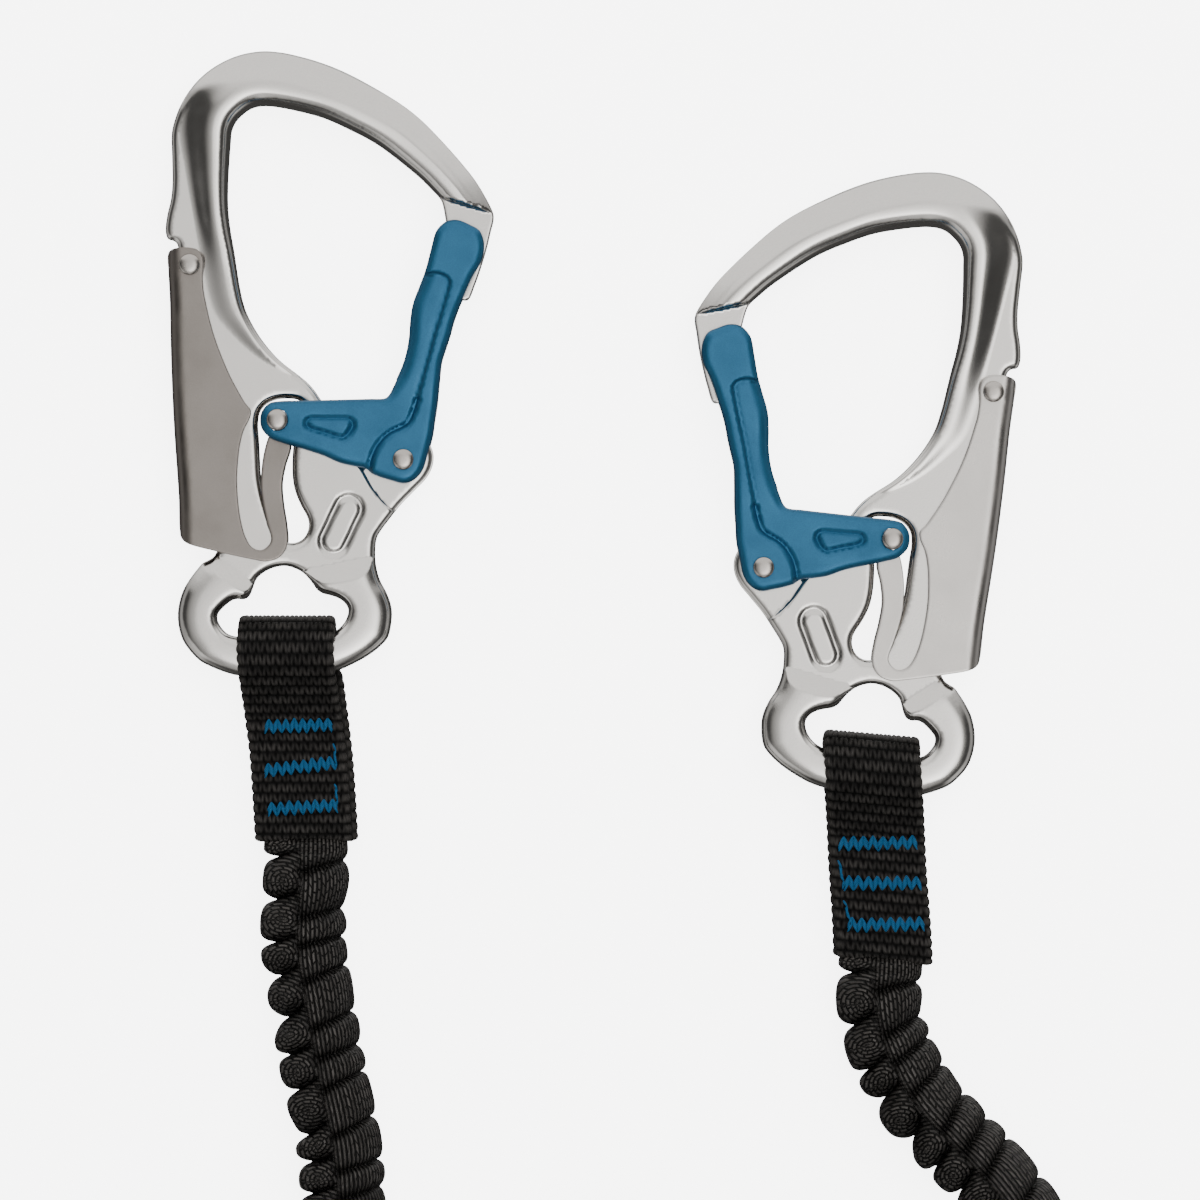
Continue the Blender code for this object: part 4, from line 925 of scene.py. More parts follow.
gate_blue = grained_metal(
    "anodised_gate", (0.030, 0.129, 0.243), 0.42, 4200.0, 0.4, shades=(0.7, 1.25), metallic=0.8,
)
both_connectors("gate", slotted_gate(), gate_blue, "gate")

# Palm levers
# Each lever is a stainless sheet folded over the connector's spine: two flat cheeks with a
# curved slot and a hooked finger, joined by the rounded fold.
LEVER_OUTLINE = (
    (168, 256), (169.5, 252), (173.5, 249.5), (181, 248), (190, 248.2), (197, 249.8), (202, 254.5),
    (204, 262), (203.3, 276), (204, 290), (207, 306), (211.5, 325), (217, 343), (224, 361), (231, 377),
    (238.5, 391), (245.5, 403),
)
LEVER_SLOT_LEFT = (
    (251.5, 411), (250.5, 418), (244.5, 430), (240.5, 445), (238.5, 461), (237.5, 480), (238.5, 500),
    (241, 519), (245.5, 536), (251.5, 546.5), (258, 550), (264, 549.5),
)
FINGER_INNER = (
    (271.5, 541), (267.5, 522), (263.8, 505), (261.6, 490), (261.6, 477), (263, 461), (267, 443),
    (270, 436), (276, 433.5), (283, 434.5), (289, 438.5),
)
FINGER_OUTER = (
    (291, 447), (285.5, 466), (282.5, 484), (284, 505), (287, 524), (288, 543), (284, 553), (277, 559),
    (266, 561.5), (256, 560),
)
LEVER_FOLD_EDGE = (
    (217, 551.5), (187, 543), (181.5, 537.5), (180, 530), (179, 498), (175, 440), (173, 405),
    (171, 351), (170, 300), (168.5, 270),
)
FOLD_SPINE = (
    (180.5, 560), (180, 530), (179, 498), (175, 440), (173, 405), (171, 351), (170, 300), (168.5, 270),
    (168, 230),
)
HALF_LEVER = 3.8 * MM
HALF_LEVER_INSIDE = 2.8 * MM
LEVER_SHEET = 1.0 * MM
FOLD_RADIUS = 2.7 * MM
SHEET_EDGE = 0.16 * MM
LEVER_RIVET_HOLE = 1.55 * MM
LEVER_GRID = 0.6 * MM
LEVER_RING_DEPTHS = (0.05 * MM, 0.14 * MM, 0.5 * MM, 1.0 * MM, 1.6 * MM, 2.2 * MM)
FAR_PIXEL = (340.0, 200.0)
LEVER_OPEN_END = 20.0 * MM


def lever_shape():
    parts = (LEVER_OUTLINE, LEVER_SLOT_LEFT, FINGER_INNER, FINGER_OUTER, LEVER_FOLD_EDGE)
    outline = smooth_loop(np.vstack(parts))
    hole = circle(mark(LEVER_RIVET_PIXEL)[0], LEVER_RIVET_HOLE, 30)
    closed = [closed_line(loop) for loop in (outline, hole)]
    spine = rounded_line(mark(FOLD_SPINE), closed=False)

    def height(places):
        edge = np.min([distance_to(line, places) for line in closed], axis=0)
        top = HALF_LEVER - rounding(edge, SHEET_EDGE)
        return np.minimum(top, HALF_LEVER - rounding(distance_to(spine, places), FOLD_RADIUS))

    shape = relief((outline, hole), height, grid=LEVER_GRID, depths=LEVER_RING_DEPTHS)
    work = new_piece("lever_work", *shape, None)
    inner = mark(FOLD_SPINE[2:]) + (LEVER_SHEET, 0.0)
    low = inner[0] - (0.0, LEVER_OPEN_END)
    far = mark(FAR_PIXEL)
    inside = np.vstack([low, inner, far, (far[0, 0], low[1])])
    cut(work, prism_cutter("lever_inside", inside, HALF_LEVER_INSIDE))
    return shape_of(work)


# The two levers are one steel: the left one painted darker as shade, the right one painted lighter as light.
lever_steel = {
    "left": grained_metal("painted_shade_lever_sheet", (0.285, 0.262, 0.243), 0.36, 3400.0, 0.5),
    "right": grained_metal("painted_light_lever_sheet", (0.70, 0.68, 0.655), 0.30, 3400.0, 0.5),
}
both_connectors("palm_lever", lever_shape(), lever_steel, "lever")

# Rivets and lock pins
# Turned steel with domed heads: the gate and the lever each turn on a rivet, and the lock pin
# crosses the slots of lever and body at the end of the gate's arm.
RIVET_HEAD = 2.1 * MM
HEAD_HEIGHT = 0.85 * MM
SEAT_GAP = 0.3 * MM
RIVET_SIDES, DOME_STEPS = 48, 9
DOME_FOOT, DOME_LIP, DOME_START, DOME_ROUND = 0.97, 0.12, 0.2, 0.75
GATE_RIVET_RADIUS = 1.6 * MM
LOCK_PIN_RADIUS = 1.9 * MM
LEVER_RIVET_RADIUS = 1.3 * MM


def ring_faces(rings, sides, ends="capped"):
    """Faces between rings of as many corners each, whose ends are capped, open or joined."""
    faces = []
    for ring in range(rings if ends == "joined" else rings - 1):
        first, beyond = ring * sides, (ring + 1) % rings * sides
        for side in range(sides):
            after = (side + 1) % sides
            faces.append((first + side, first + after, beyond + after, beyond + side))
    if ends == "capped":
        faces.append(tuple(range(sides))[::-1])
        faces.append(tuple(range((rings - 1) * sides, rings * sides)))
    return faces


def rivet_shape(pixel, radius, half):
    """A pin with a domed head at each end, turned about its own middle line."""
    centre = mark(pixel)[0]
    seat = half + SEAT_GAP
    lip = seat + HEAD_HEIGHT * DOME_LIP
    dome = [(seat, radius), (seat, RIVET_HEAD * DOME_FOOT), (lip, RIVET_HEAD)]
    for step in range(1, DOME_STEPS):
        turn = step / DOME_STEPS * math.pi / 2
        rise = HEAD_HEIGHT * (DOME_START + (1 - DOME_START) * math.sin(turn))
        dome.append((seat + rise, RIVET_HEAD * math.cos(turn) ** DOME_ROUND))
    profile = [(-height, out) for height, out in reversed(dome)] + dome
    corners = [(*side, height) for height, out in profile for side in circle(centre, out, RIVET_SIDES)]
    return corners, ring_faces(len(profile), RIVET_SIDES)


rivet_steel = grained_metal("rivet_steel", (0.56, 0.53, 0.50), 0.24, 3000.0, 0.3)
for name, pixel, radius, half, body in (
    ("gate_rivet", GATE_RIVET_PIXEL, GATE_RIVET_RADIUS, HALF_GATE, "connector"),
    ("lock_pin", LOCK_PIN_PIXEL, LOCK_PIN_RADIUS, HALF_GATE, "gate"),
    ("lever_rivet", LEVER_RIVET_PIXEL, LEVER_RIVET_RADIUS, HALF_LEVER, "connector"),
):
    both_connectors(name, rivet_shape(pixel, radius, half), rivet_steel, body)

# Springs
# A small torsion coil round each gate's rivet turns the gate shut. A bowed leaf of spring steel
# between the lever's fold and the web pushes the lever out.
COIL_WIRE = 0.7 * MM
COIL_RADIUS = 2.75 * MM
COIL_PITCH = 1.15 * MM
COIL_TURNS = 2.25
COIL_STEPS = 48
COIL_WIRE_SIDES = 14
COIL_SEAT = 0.15 * MM
LEAF_MARKS = ((177.8, 300), (183, 332), (191, 365), (196, 392), (193, 418), (188, 445), (186, 465))
LEAF_THICKNESS = 0.4 * MM
LEAF_WIDTH = 4.0 * MM
LEAF_EDGE = 0.12 * MM


def coil_shape():
    """Round wire screwed up about the gate's pivot, its two ends capped."""
    bottom = SPRING_POCKET_FLOOR - HALF_WEB + COIL_SEAT + COIL_WIRE / 2
    bpy.ops.mesh.primitive_circle_add(
        vertices=COIL_WIRE_SIDES, radius=COIL_WIRE / 2, location=(COIL_RADIUS, 0.0, bottom),
        rotation=(math.pi / 2, 0.0, 0.0),
    )
    wire = bpy.context.object
    bpy.ops.object.transform_apply(location=True, rotation=True, scale=True)
    screw = wire.modifiers.new("coil", "SCREW")
    screw.angle = COIL_TURNS * math.tau
    screw.screw_offset = COIL_PITCH * COIL_TURNS
    screw.steps = screw.render_steps = int(COIL_STEPS * COIL_TURNS)
    screw.merge_threshold = 0.001 * MM
    applied(wire)
    shape = bmesh.new()
    shape.from_mesh(wire.data)
    bmesh.ops.holes_fill(shape, edges=[edge for edge in shape.edges if edge.is_boundary], sides=0)
    shape.to_mesh(wire.data)
    shape.free()
    x, y = mark(GATE_RIVET_PIXEL)[0]
    wire.data.transform(Matrix.Translation((x, y, 0.0)))
    return shape_of(wire)


def leaf_shape():
    """A strip along the bowed line, its edges eased."""
    line = rounded_line(mark(LEAF_MARKS), closed=False, parts=8)
    at, heading = along_line(line, np.linspace(0.0, line_length(line), 60))
    half, wide = LEAF_THICKNESS / 2, LEAF_WIDTH / 2
    quarter = ((half, wide - LEAF_EDGE), (half - LEAF_EDGE, wide))
    top = (*quarter, *((-out, up) for out, up in quarter[::-1]))
    section = (*top, *((out, -up) for out, up in top[::-1]))
    sideways = left_of(heading)
    corners = [(*(place + side * out), up) for place, side in zip(at, sideways) for out, up in section]
    return corners, ring_faces(len(at), len(section))


spring_steel = grained_metal("spring_steel", (0.42, 0.40, 0.38), 0.3, 3600.0, 0.4)
both_connectors("gate_spring", coil_shape(), spring_steel, "connector")
leaves = both_connectors("lever_spring", leaf_shape(), spring_steel, None)
for side, leaf in leaves.items():
    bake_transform(leaf)

# Sewn webbing ends
# Each is one strip of black webbing round the eye bar, its two layers sewn together. The
# weave is real relief: rows of yarn, each row half a yarn along from the one before. Its
# colour carries painted light on the yarns' crests and painted shade in their gaps.
STRAP_WIDTH = 18.9 * MM
STRAP_THICKNESS = 2.9 * MM
STRAP_CORNER = 1.1 * MM
STRAP_END_CORNER = 1.1 * MM
SELVEDGE_BUMP = 0.34 * MM
STRAP_END = 37.2 * MM
STRAP_INNER_RADIUS = 4.7 * MM
STRAP_WRAP = math.radians(115.0)
LAYER_MIDDLE = 1.7 * MM
WEAVE_ROW = 2.05 * MM
WEAVE_YARN = 0.89 * MM
WEAVE_HEIGHT = 0.42 * MM
YARN_LEAN = 0.34
YARN_STRAY = 0.16
YARN_CONTRAST = 1.7
STRAP_FINE_STEP = 0.19 * MM
STRAP_COARSE_STEP = 0.38 * MM
STRAP_FINE_SHARE = 0.42
STRAP_COLUMNS = 124
SIDE_COLUMNS = 9
INNER_COLUMNS = 12
FOLD_PARTS = 14
STRAP_RELIEF_FLOOR = 0.03 * MM
STRAP_CLEARANCE = 0.1 * MM
STRAP_STRAIGHT, STRAP_MEET = 3.0 * MM, 0.6 * MM
STRAP_END_SQUEEZE = 0.6
UNDER_BLEND = (-1.0 * MM, 1.2 * MM)
WORN_CREST = (5.4 * MM, 7.2 * MM)
NO_LIGHT = (0.0006, 0.0006, 0.0006)
# How far across the middle of each layer lies, by how far along, in millimetres
UPPER_COURSES = {
    "left": (
        (6.4, -0.1), (1, -0.5), (-5, 0.1), (-9, 0.7), (-14, 1.3), (-19, 2), (-29, 2.7), (-38, 3.2),
    ),
    "right": ((6.4, 1.4), (4, 1.6), (-5.8, 3.2), (-12, 4.1), (-18.7, 5), (-29.4, 6.8), (-38, 8)),
}
LOWER_SHIFTS = {
    "left": ((6, 0), (0, 0.35), (-5, 1.2), (-12, 1.25), (-38, 1.2)),
    "right": ((6, 0), (0, -0.2), (-38, -0.5)),
}


def set_uv(piece, name, values):
    """A UV map from one pair of values for each corner of the mesh."""
    layer = piece.data.uv_layers.new(name=name)
    corner_of = np.zeros(len(piece.data.loops), np.int64)
    piece.data.loops.foreach_get("vertex_index", corner_of)
    layer.data.foreach_set("uv", np.asarray(values, np.float32)[corner_of].ravel())


def set_share(piece, name, values):
    layer = piece.data.attributes.new(name, "FLOAT", "POINT")
    layer.data.foreach_set("value", np.asarray(values, np.float32))


def half_turn(centre, radius, start, end, parts=FOLD_PARTS):
    """Points of an arc in the (along, up) plane, between two turns in radians."""
    turns = np.linspace(start, end, parts)
    return np.stack([centre[0] + np.cos(turns) * radius, centre[1] + np.sin(turns) * radius], 1)


def strap_side_line():
    """The strap's middle seen from the side as (along, up), from the lower end to the upper."""
    radius = STRAP_INNER_RADIUS + STRAP_THICKNESS / 2 + STRAP_CLEARANCE
    fall = radius * math.sin(STRAP_WRAP) - LAYER_MIDDLE
    meet = radius * math.cos(STRAP_WRAP) - fall / math.tan(STRAP_WRAP - math.pi / 2)
    wrap = half_turn((0.0, 0.0), radius, -STRAP_WRAP, STRAP_WRAP, 60)
    lower = np.array([
        (-STRAP_END, -LAYER_MIDDLE), (meet - STRAP_STRAIGHT, -LAYER_MIDDLE),
        (meet - STRAP_MEET, -LAYER_MIDDLE - STRAP_CLEARANCE),
    ])
    return rounded_line(np.vstack([lower, wrap, lower[::-1] * (1, -1)]), closed=False, parts=6)


def strap_section(width, thickness, columns):
    """A strap's outline as (across, out), with how much each corner shows the weave."""
    half, thick = width / 2, thickness / 2
    corner = min(STRAP_CORNER, thick)
    flat = width - 2 * corner
    turns = np.linspace(math.pi / 2, -math.pi / 2, SIDE_COLUMNS + 2)[1:-1]
    rows = [(-half + corner + share * flat, thick, 1.0) for share in np.linspace(0.0, 1.0, columns)]
    rows += [(half - corner + math.cos(turn) * corner, math.sin(turn) * thick, 0.5) for turn in turns]
    rows += [(half - corner - share * flat, -thick, 0.0) for share in np.linspace(0.0, 1.0, INNER_COLUMNS)]
    rows += [(-half + corner - math.cos(turn) * corner, math.sin(turn) * thick, 0.5) for turn in turns[::-1]]
    return np.array(rows).T


def weave_height(along, across):
    """The rise of the yarns at places of a webbing, and the painted light on each, both 0 to 1."""
    row = along / WEAVE_ROW
    number = np.floor(row)
    up = row - number - 0.5
    wander = np.sin(number * 2.3 + across / MM * 0.21) + np.sin(number * 5.1 + across / MM * 0.9)
    yarn = across / WEAVE_YARN + 0.5 * (number % 2) + YARN_STRAY * wander
    index = np.floor(yarn)
    side = yarn - index - 0.5 - np.where(index % 2 == 0, YARN_LEAN, -YARN_LEAN) * up
    body = np.clip(1 - np.abs(2 * side) ** 2, 0, 1) ** 0.55
    end = np.clip(1 - np.abs(2.0 * up) ** 2.4, 0, 1) ** 0.6
    # painted light: each row lighter towards its upper half, with a random tone from yarn to yarn
    light = np.clip(0.8 + 0.5 * up, 0, 1) * (0.82 + 0.18 * np.sin(index * 12.99 + number * 78.23))
    return body * end, body * end**1.5 * light


def webbing_cloth(name, colour, worn):
    """Nylon webbing: painted shade in the gaps, a painted highlight streaked along the yarns, worn grey
    where folded.
    """
    surface, tree, shader = shader_of(name)
    stretch = add(tree, "Mapping", Vector=map_of(tree, "weave"), Scale=(0.7, 7.0, 1.0)).outputs[0]
    fibres = add(tree, "TexNoise", Vector=stretch, Scale=1.0, Detail=3.0).outputs["Fac"]
    # the rise attribute holds painted light, not height: lit yarn crests, painted shade in the gaps
    crown = maths(tree, "POWER", share_of(tree, "rise"), YARN_CONTRAST)
    strands = add(
        tree, "MapRange", Value=fibres, From_Min=0.35, From_Max=0.65, To_Min=0.35, To_Max=1.0,
    ).outputs[0]
    black = colour_between(tree, maths(tree, "MULTIPLY", crown, strands), NO_LIGHT, colour)
    spots = maths(tree, "MULTIPLY", share_of(tree, "wear"), strands)
    feed(
        tree, shader, Specular_IOR_Level=0.09, Roughness=0.5,
        Base_Color=colour_between(tree, spots, black, worn),
        Normal=bumped(tree, fibres, 0.7, 0.08 * MM),
    )
    return surface


def woven_strip(name, line, places, section, course, surface):
    """A strap along a line seen from the side as (along, up), its weave in relief outside."""
    at, heading = along_line(line, places)
    outward = np.stack([heading[:, 1], -heading[:, 0]], 1)
    across, out, outer = section
    thick, half = out.max(), across.max()
    run, wide = np.meshgrid(places, across, indexing="ij")
    rise, light = weave_height(run, wide)
    bump = np.abs(np.sin(run / WEAVE_ROW * math.pi)) ** 0.7
    lift = np.where(outer > 0.9, rise * WEAVE_HEIGHT, 0.0)
    lift = np.where((outer > 0.4) & (outer < 0.6), bump * SELVEDGE_BUMP, lift)
    end_share = np.minimum(places, places[-1] - places)
    narrow = rounding(end_share, STRAP_END_CORNER)
    squeeze = 1 - narrow / STRAP_END_CORNER * STRAP_END_SQUEEZE
    edge_way = np.sign(across) * (np.abs(across) > half - STRAP_CORNER * 0.9)
    x = course[:, None] + wide * (1 - narrow / half)[:, None] + edge_way * lift
    depth = (out + np.sign(out) * lift * (np.abs(out) > thick / 2)) * squeeze[:, None]
    y = at[:, 0][:, None] + outward[:, 0][:, None] * depth
    z = at[:, 1][:, None] + outward[:, 1][:, None] * depth
    corners = np.stack([x, y, z], 2).reshape(-1, 3)
    piece = new_piece(name, corners, ring_faces(len(places), len(across)), surface)
    # painted light for the rise attribute: the yarns' own on the face, lighter on the selvedge bumps, dimmer
    # inside
    side_painted_light = np.where(outer > 0.4, bump * 0.8, 0.4)
    set_share(piece, "rise", np.where(outer > 0.9, light, side_painted_light).ravel())
    set_uv(piece, "weave", np.stack([run / MM, wide / MM], 2).reshape(-1, 2))
    return piece


def webbing_end(side, surface):
    """The strip round the eye bar, its upper layer finer because it is the one seen."""
    line = strap_side_line()
    length = line_length(line)
    places = [0.0]
    while places[-1] < length:
        upper_part = places[-1] / length > STRAP_FINE_SHARE
        places.append(places[-1] + (STRAP_FINE_STEP if upper_part else STRAP_COARSE_STEP))
    places = np.array(places) * length / places[-1]
    at = along_line(line, places)[0]
    upper = np.array(UPPER_COURSES[side])[::-1] * MM
    shift = np.array(LOWER_SHIFTS[side])[::-1] * MM
    middle = np.interp(at[:, 0], upper[:, 0], upper[:, 1])
    middle = eased(middle, 20)
    below = 1 - smoothstep(*UNDER_BLEND, at[:, 1])
    middle = middle + np.interp(at[:, 0], shift[:, 0], shift[:, 1]) * below
    section = strap_section(STRAP_WIDTH, STRAP_THICKNESS, STRAP_COLUMNS)
    piece = woven_strip(side + "_webbing_end", line, places, section, middle, surface)
    crest = smoothstep(*WORN_CREST, at[:, 0])[:, None] * np.ones(len(section[0]))
    set_share(piece, "wear", crest.ravel())
    for vertex in piece.data.vertices:
        vertex.co.z = max(vertex.co.z, STRAP_RELIEF_FLOOR - RING_HEIGHT)
    piece.data.transform(ring_place(side))
    fixed(piece, "lanyard", side + "_webbing_end")


# the yarns' colour under the fullest painted light, and the worn grey of the fold
webbing = webbing_cloth("webbing", (0.052, 0.048, 0.045), (0.2, 0.195, 0.19))
for side in ("left", "right"):
    webbing_end(side, webbing)

# Bartacks
# Blue thread sews each pair of layers together in three zigzag bars, sewn over several times,
# with a loose thread between one bar and the next along one edge.
STITCH_RADIUS = 0.23 * MM
STITCH_SIDES = 6
STITCH_RINGS = 6
TEETH_PER_BAR = 8
TOOTH_DEPTH = 1.75 * MM
BAR_STRANDS = 4
STRAND_SHIFT = 0.4 * MM
SEW_HEIGHT = 3.62 * MM
LEAST_STITCH = 0.3 * MM
LINK_PATTERNS = ((2, 0.5 * MM, 0.0), (1, 0.3 * MM, 0.5))
BARTACK_BARS = {
    # start and end of each bar, and of each link, as (across, along) in millimetres
    "left": (
        (((-4.5, -14.2), (8.9, -13.8)), ((-4.6, -23.0), (9.4, -21.4)), ((-3.9, -30.7), (9.9, -29.9))),
        (((9.3, -17.6), (9.7, -22.8)), ((9.6, -25.6), (9.9, -30.0))),
    ),
    "right": (
        (((-3.4, -14.6), (12.2, -12.9)), ((-1.6, -22.3), (13.7, -20.9)), ((-0.2, -30.5), (15.0, -29.0))),
        (((-3.0, -17.8), (-1.6, -23.4)), ((-1.3, -25.6), (0.6, -31.0))),
    ),
}


def stitches(ends_list, height, sign):
    """Short plump threads, each diving into the cloth at both ends."""
    corners, faces, twist = [], [], []
    for start, end in ends_list:
        run = np.array(end) - np.array(start)
        length = np.linalg.norm(run)
        heading = run / length
        side = np.array([-heading[1], heading[0]])
        for ring in range(STITCH_RINGS):
            share = ring / (STITCH_RINGS - 1)
            swell = math.sin(math.pi * (0.08 + 0.84 * share)) ** 0.45
            lift = height + sign * (0.16 * math.sin(math.pi * share) - 0.14) * MM
            middle = np.array(start) + run * share
            for step in range(STITCH_SIDES):
                turn = step / STITCH_SIDES * math.tau
                out = side * math.cos(turn) * STITCH_RADIUS * swell
                corners.append((*(middle + out), lift + math.sin(turn) * STITCH_RADIUS * swell))
                twist.append((share * length / MM, step / STITCH_SIDES))
        first = len(corners) - STITCH_SIDES * STITCH_RINGS
        thread_faces = ring_faces(STITCH_RINGS, STITCH_SIDES)
        faces += [tuple(first + corner for corner in face) for face in thread_faces]
    return corners, faces, twist


def zigzag(start, end, teeth, depth, phase, chance):
    """A row of stitches from start to end, to and fro across it."""
    start, end = np.array(start) * MM, np.array(end) * MM
    run = end - start
    side = np.array([-run[1], run[0]]) / np.linalg.norm(run)
    count = teeth * 2
    points = []
    for step in range(count + 1):
        share = np.clip((step + phase) / count, 0.0, 1.0)
        reach = depth / 2 * (1 if step % 2 else -1) * chance.uniform(0.82, 1.12)
        points.append(start + run * share + side * reach + run / count * chance.uniform(-0.1, 0.1))
    return [(a, b) for a, b in zip(points, points[1:]) if np.linalg.norm(b - a) > LEAST_STITCH]


def strands(start, end, teeth, chance):
    """A bar of several zigzag rows, one close beside the next, their points uneven."""
    run = np.array(end) - np.array(start)
    side = np.array([-run[1], run[0]]) / np.linalg.norm(run)
    rows = []
    for number in range(BAR_STRANDS):
        shift = side * (number - (BAR_STRANDS - 1) / 2) * STRAND_SHIFT / MM
        rows += zigzag(start + shift, end + shift, teeth, TOOTH_DEPTH, 0.0, chance)
    return rows


def thread_finish(name, colour):
    """Twisted polyester thread, painted darker between its plies as shade."""
    surface, tree, shader = shader_of(name)
    turned = add(tree, "Mapping", Vector=map_of(tree, "twist"), Scale=(2.2, 1.0, 1.0)).outputs[0]
    wave = add(tree, "TexWave", Vector=turned, Scale=0.9, Distortion=0.3)
    wave.wave_type = "BANDS"
    wave.bands_direction = "DIAGONAL"
    plies = wave.outputs["Fac"]
    feed(
        tree, shader, Roughness=0.45, Specular_IOR_Level=0.3,
        # painted shade in the grooves between the plies
        Base_Color=colour_between(tree, plies, [value * 0.55 for value in colour], colour),
        Normal=bumped(tree, plies, 0.8, 0.06 * MM),
    )
    return surface


def sewn(name, bars, links, patterns, teeth, reach, place, seed):
    """Bars and the threads between them, above and below the same layers."""
    chance = random.Random(seed)
    rows = []
    for ends in bars:
        rows += strands(*ends, teeth, chance)
    for ends in links:
        for pattern in patterns:
            rows += zigzag(*ends, *pattern, chance)
    above, faces, twist = stitches(rows, reach, 1)
    below, below_faces, below_twist = stitches(rows, -reach, -1)
    shifted = [tuple(corner + len(above) for corner in face) for face in below_faces]
    piece = new_piece(name, above + below, faces + shifted, thread)
    piece.data.transform(place)
    set_uv(piece, "twist", np.array(twist + below_twist))
    fixed(piece, "lanyard", name)


thread = thread_finish("bartack_thread", (0.001, 0.072, 0.175))
for side, seed in (("left", 7), ("right", 11)):
    sewn(
        side + "_bartacks", *BARTACK_BARS[side], LINK_PATTERNS, TEETH_PER_BAR, SEW_HEIGHT,
        ring_place(side), seed,
    )

# Elastic arms
# Each arm is a tube of black webbing gathered on an elastic core, so that it stands in round
# folds. Seen from above, bands of weave lie along its right and curled fold ends on its left.
ARM_HEIGHT = 8.85 * MM
ARM_FOLDS = 80
FINE_FOLDS = 13
FINE_RINGS = 22
COARSE_RINGS = 9
ARM_SIDES = 98
FOLD_TILT = 0.27
FOLD_STRAY = 0.13
CURL_PLACE, CURL_STRAY = 4.6 * MM, 0.8 * MM
CURL_YARN = 0.9
# the arm cloth's colour under the fullest painted light; NO_LIGHT is its painted shade
ARM_CLOTH = (0.050, 0.046, 0.043)
ARM_MOUTH = (8.4 * MM, 4.5 * MM)
ARM_TUCK = 1.3 * MM
TUCKED_MOUTH = (8.0 * MM, 1.6 * MM)
TUCK_RINGS = 4
ARM_MOUTH_FOLDS = 0.4
ARM_CONTRAST = 1.6
FIRST_FOLD = 0.2
FOLD_VALLEYS, FOLD_CREST = (4.4 * MM, 7.0 * MM), 8.7 * MM
VALLEY_SINK = 0.9 * MM
FLOOR_GAP = 0.15 * MM
LEFT_ARM_ROUTE = (
    (-0.0586, 0.059), (-0.0586, 0.051), (-0.0591, 0.043), (-0.0588, 0.0355), (-0.0575, 0.028),
    (-0.0562, 0.02), (-0.0548, 0.012), (-0.053, 0.004), (-0.0516, -0.005), (-0.0512, -0.02),
    (-0.054, -0.045), (-0.0605, -0.075), (-0.068, -0.105), (-0.0745, -0.14), (-0.0785, -0.175),
    (-0.0805, -0.21), (-0.081, -0.245), (-0.081, -0.28), (-0.0808, -0.312), (-0.077, -0.333),
    (-0.066, -0.35), (-0.0457, -0.3585), (-0.0255, -0.35), (-0.0145, -0.333), (-0.0107, -0.312),
    (-0.0105, -0.28), (-0.0105, -0.25), (-0.0105, -0.234), (-0.0105, -0.2175),
)
RIGHT_ARM_ROUTE = (
    (0.0563, 0.0352), (0.0559, 0.029), (0.0571, 0.021), (0.0603, 0.0135), (0.0642, 0.007),
    (0.0692, 0.0015), (0.0745, -0.004), (0.08, -0.01), (0.0855, -0.018), (0.09, -0.03), (0.093, -0.048),
    (0.094, -0.07), (0.093, -0.095), (0.0905, -0.125), (0.087, -0.155), (0.0838, -0.185),
    (0.0818, -0.215), (0.081, -0.25), (0.081, -0.285), (0.0808, -0.318), (0.077, -0.339),
    (0.066, -0.356), (0.0457, -0.3645), (0.0255, -0.356), (0.0145, -0.339), (0.0107, -0.318),
    (0.0105, -0.285), (0.0105, -0.252), (0.0105, -0.234), (0.0105, -0.2175),
)


def smooth_line(route, parts=40):
    """A dense smooth curve through the points of a route."""
    points = np.array([route[0], *route, route[-1]], float)
    fine = []
    for index in range(len(points) - 3):
        before, start, end, after = points[index:index + 4]
        t = np.linspace(0.0, 1.0, parts, endpoint=False)[:, None]
        fine.append((
            2 * start + (end - before) * t
            + (2 * before - 5 * start + 4 * end - after) * t**2
            + (3 * start - before - 3 * end + after) * t**3
        ) / 2)
    return np.vstack(fine + [points[-1:]])


def fold_radius(phase, turn):
    """The tube's radius at a place along its folds (1 a fold) and a turn round it.

    Also how much the place belongs to a curled fold end, its fold, and how near the fold's top.
    """
    side = np.cos(turn)
    phase = phase + FOLD_STRAY * (np.sin(phase * 2.1) + 0.6 * np.sin(phase * 4.7 + 1.3 * side))
    band_share = smoothstep(-0.42, -0.02, side)
    curl_share = 1.0 - smoothstep(-0.30, 0.06, side)
    band_phase = phase + FOLD_TILT * side
    band = np.clip(1 - np.abs(2 * (band_phase % 1.0) - 1) ** 2.4, 0, 1) ** 0.5
    curl = np.clip(1 - np.abs(2 * ((band_phase + 0.5) % 1.0) - 1) ** 2.8, 0, 1) ** 0.5
    low, high = FOLD_VALLEYS
    valley = low + (high - low) * smoothstep(-0.9, 0.4, side)
    valley = valley - VALLEY_SINK * np.clip(np.sin(turn), 0, 1)
    full = np.maximum(band * band_share, curl * curl_share)
    return valley + (FOLD_CREST - valley) * full, curl_share, band_phase, full


def woven_yarns():
    """Yarns laid side by side in a plain weave, each row half a yarn along from the next."""
    group, given, made = effect_group(
        "woven_yarns", {"Place": "Vector", "Length": "Float", "Width": "Float", "Gap": "Float"},
        {"Height": "Color"},
    )
    brick = add(
        group, "TexBrick", Color1=(1.0, 1.0, 1.0, 1.0), Color2=(0.6, 0.6, 0.6, 1.0),
        Mortar=(0.0, 0.0, 0.0, 1.0), Scale=1.0, Mortar_Smooth=1.0, Vector=given["Place"],
        Brick_Width=given["Length"], Row_Height=given["Width"], Mortar_Size=given["Gap"],
    )
    feed(group, made, Height=brick.outputs["Color"])
    return group


WOVEN_YARNS = woven_yarns()


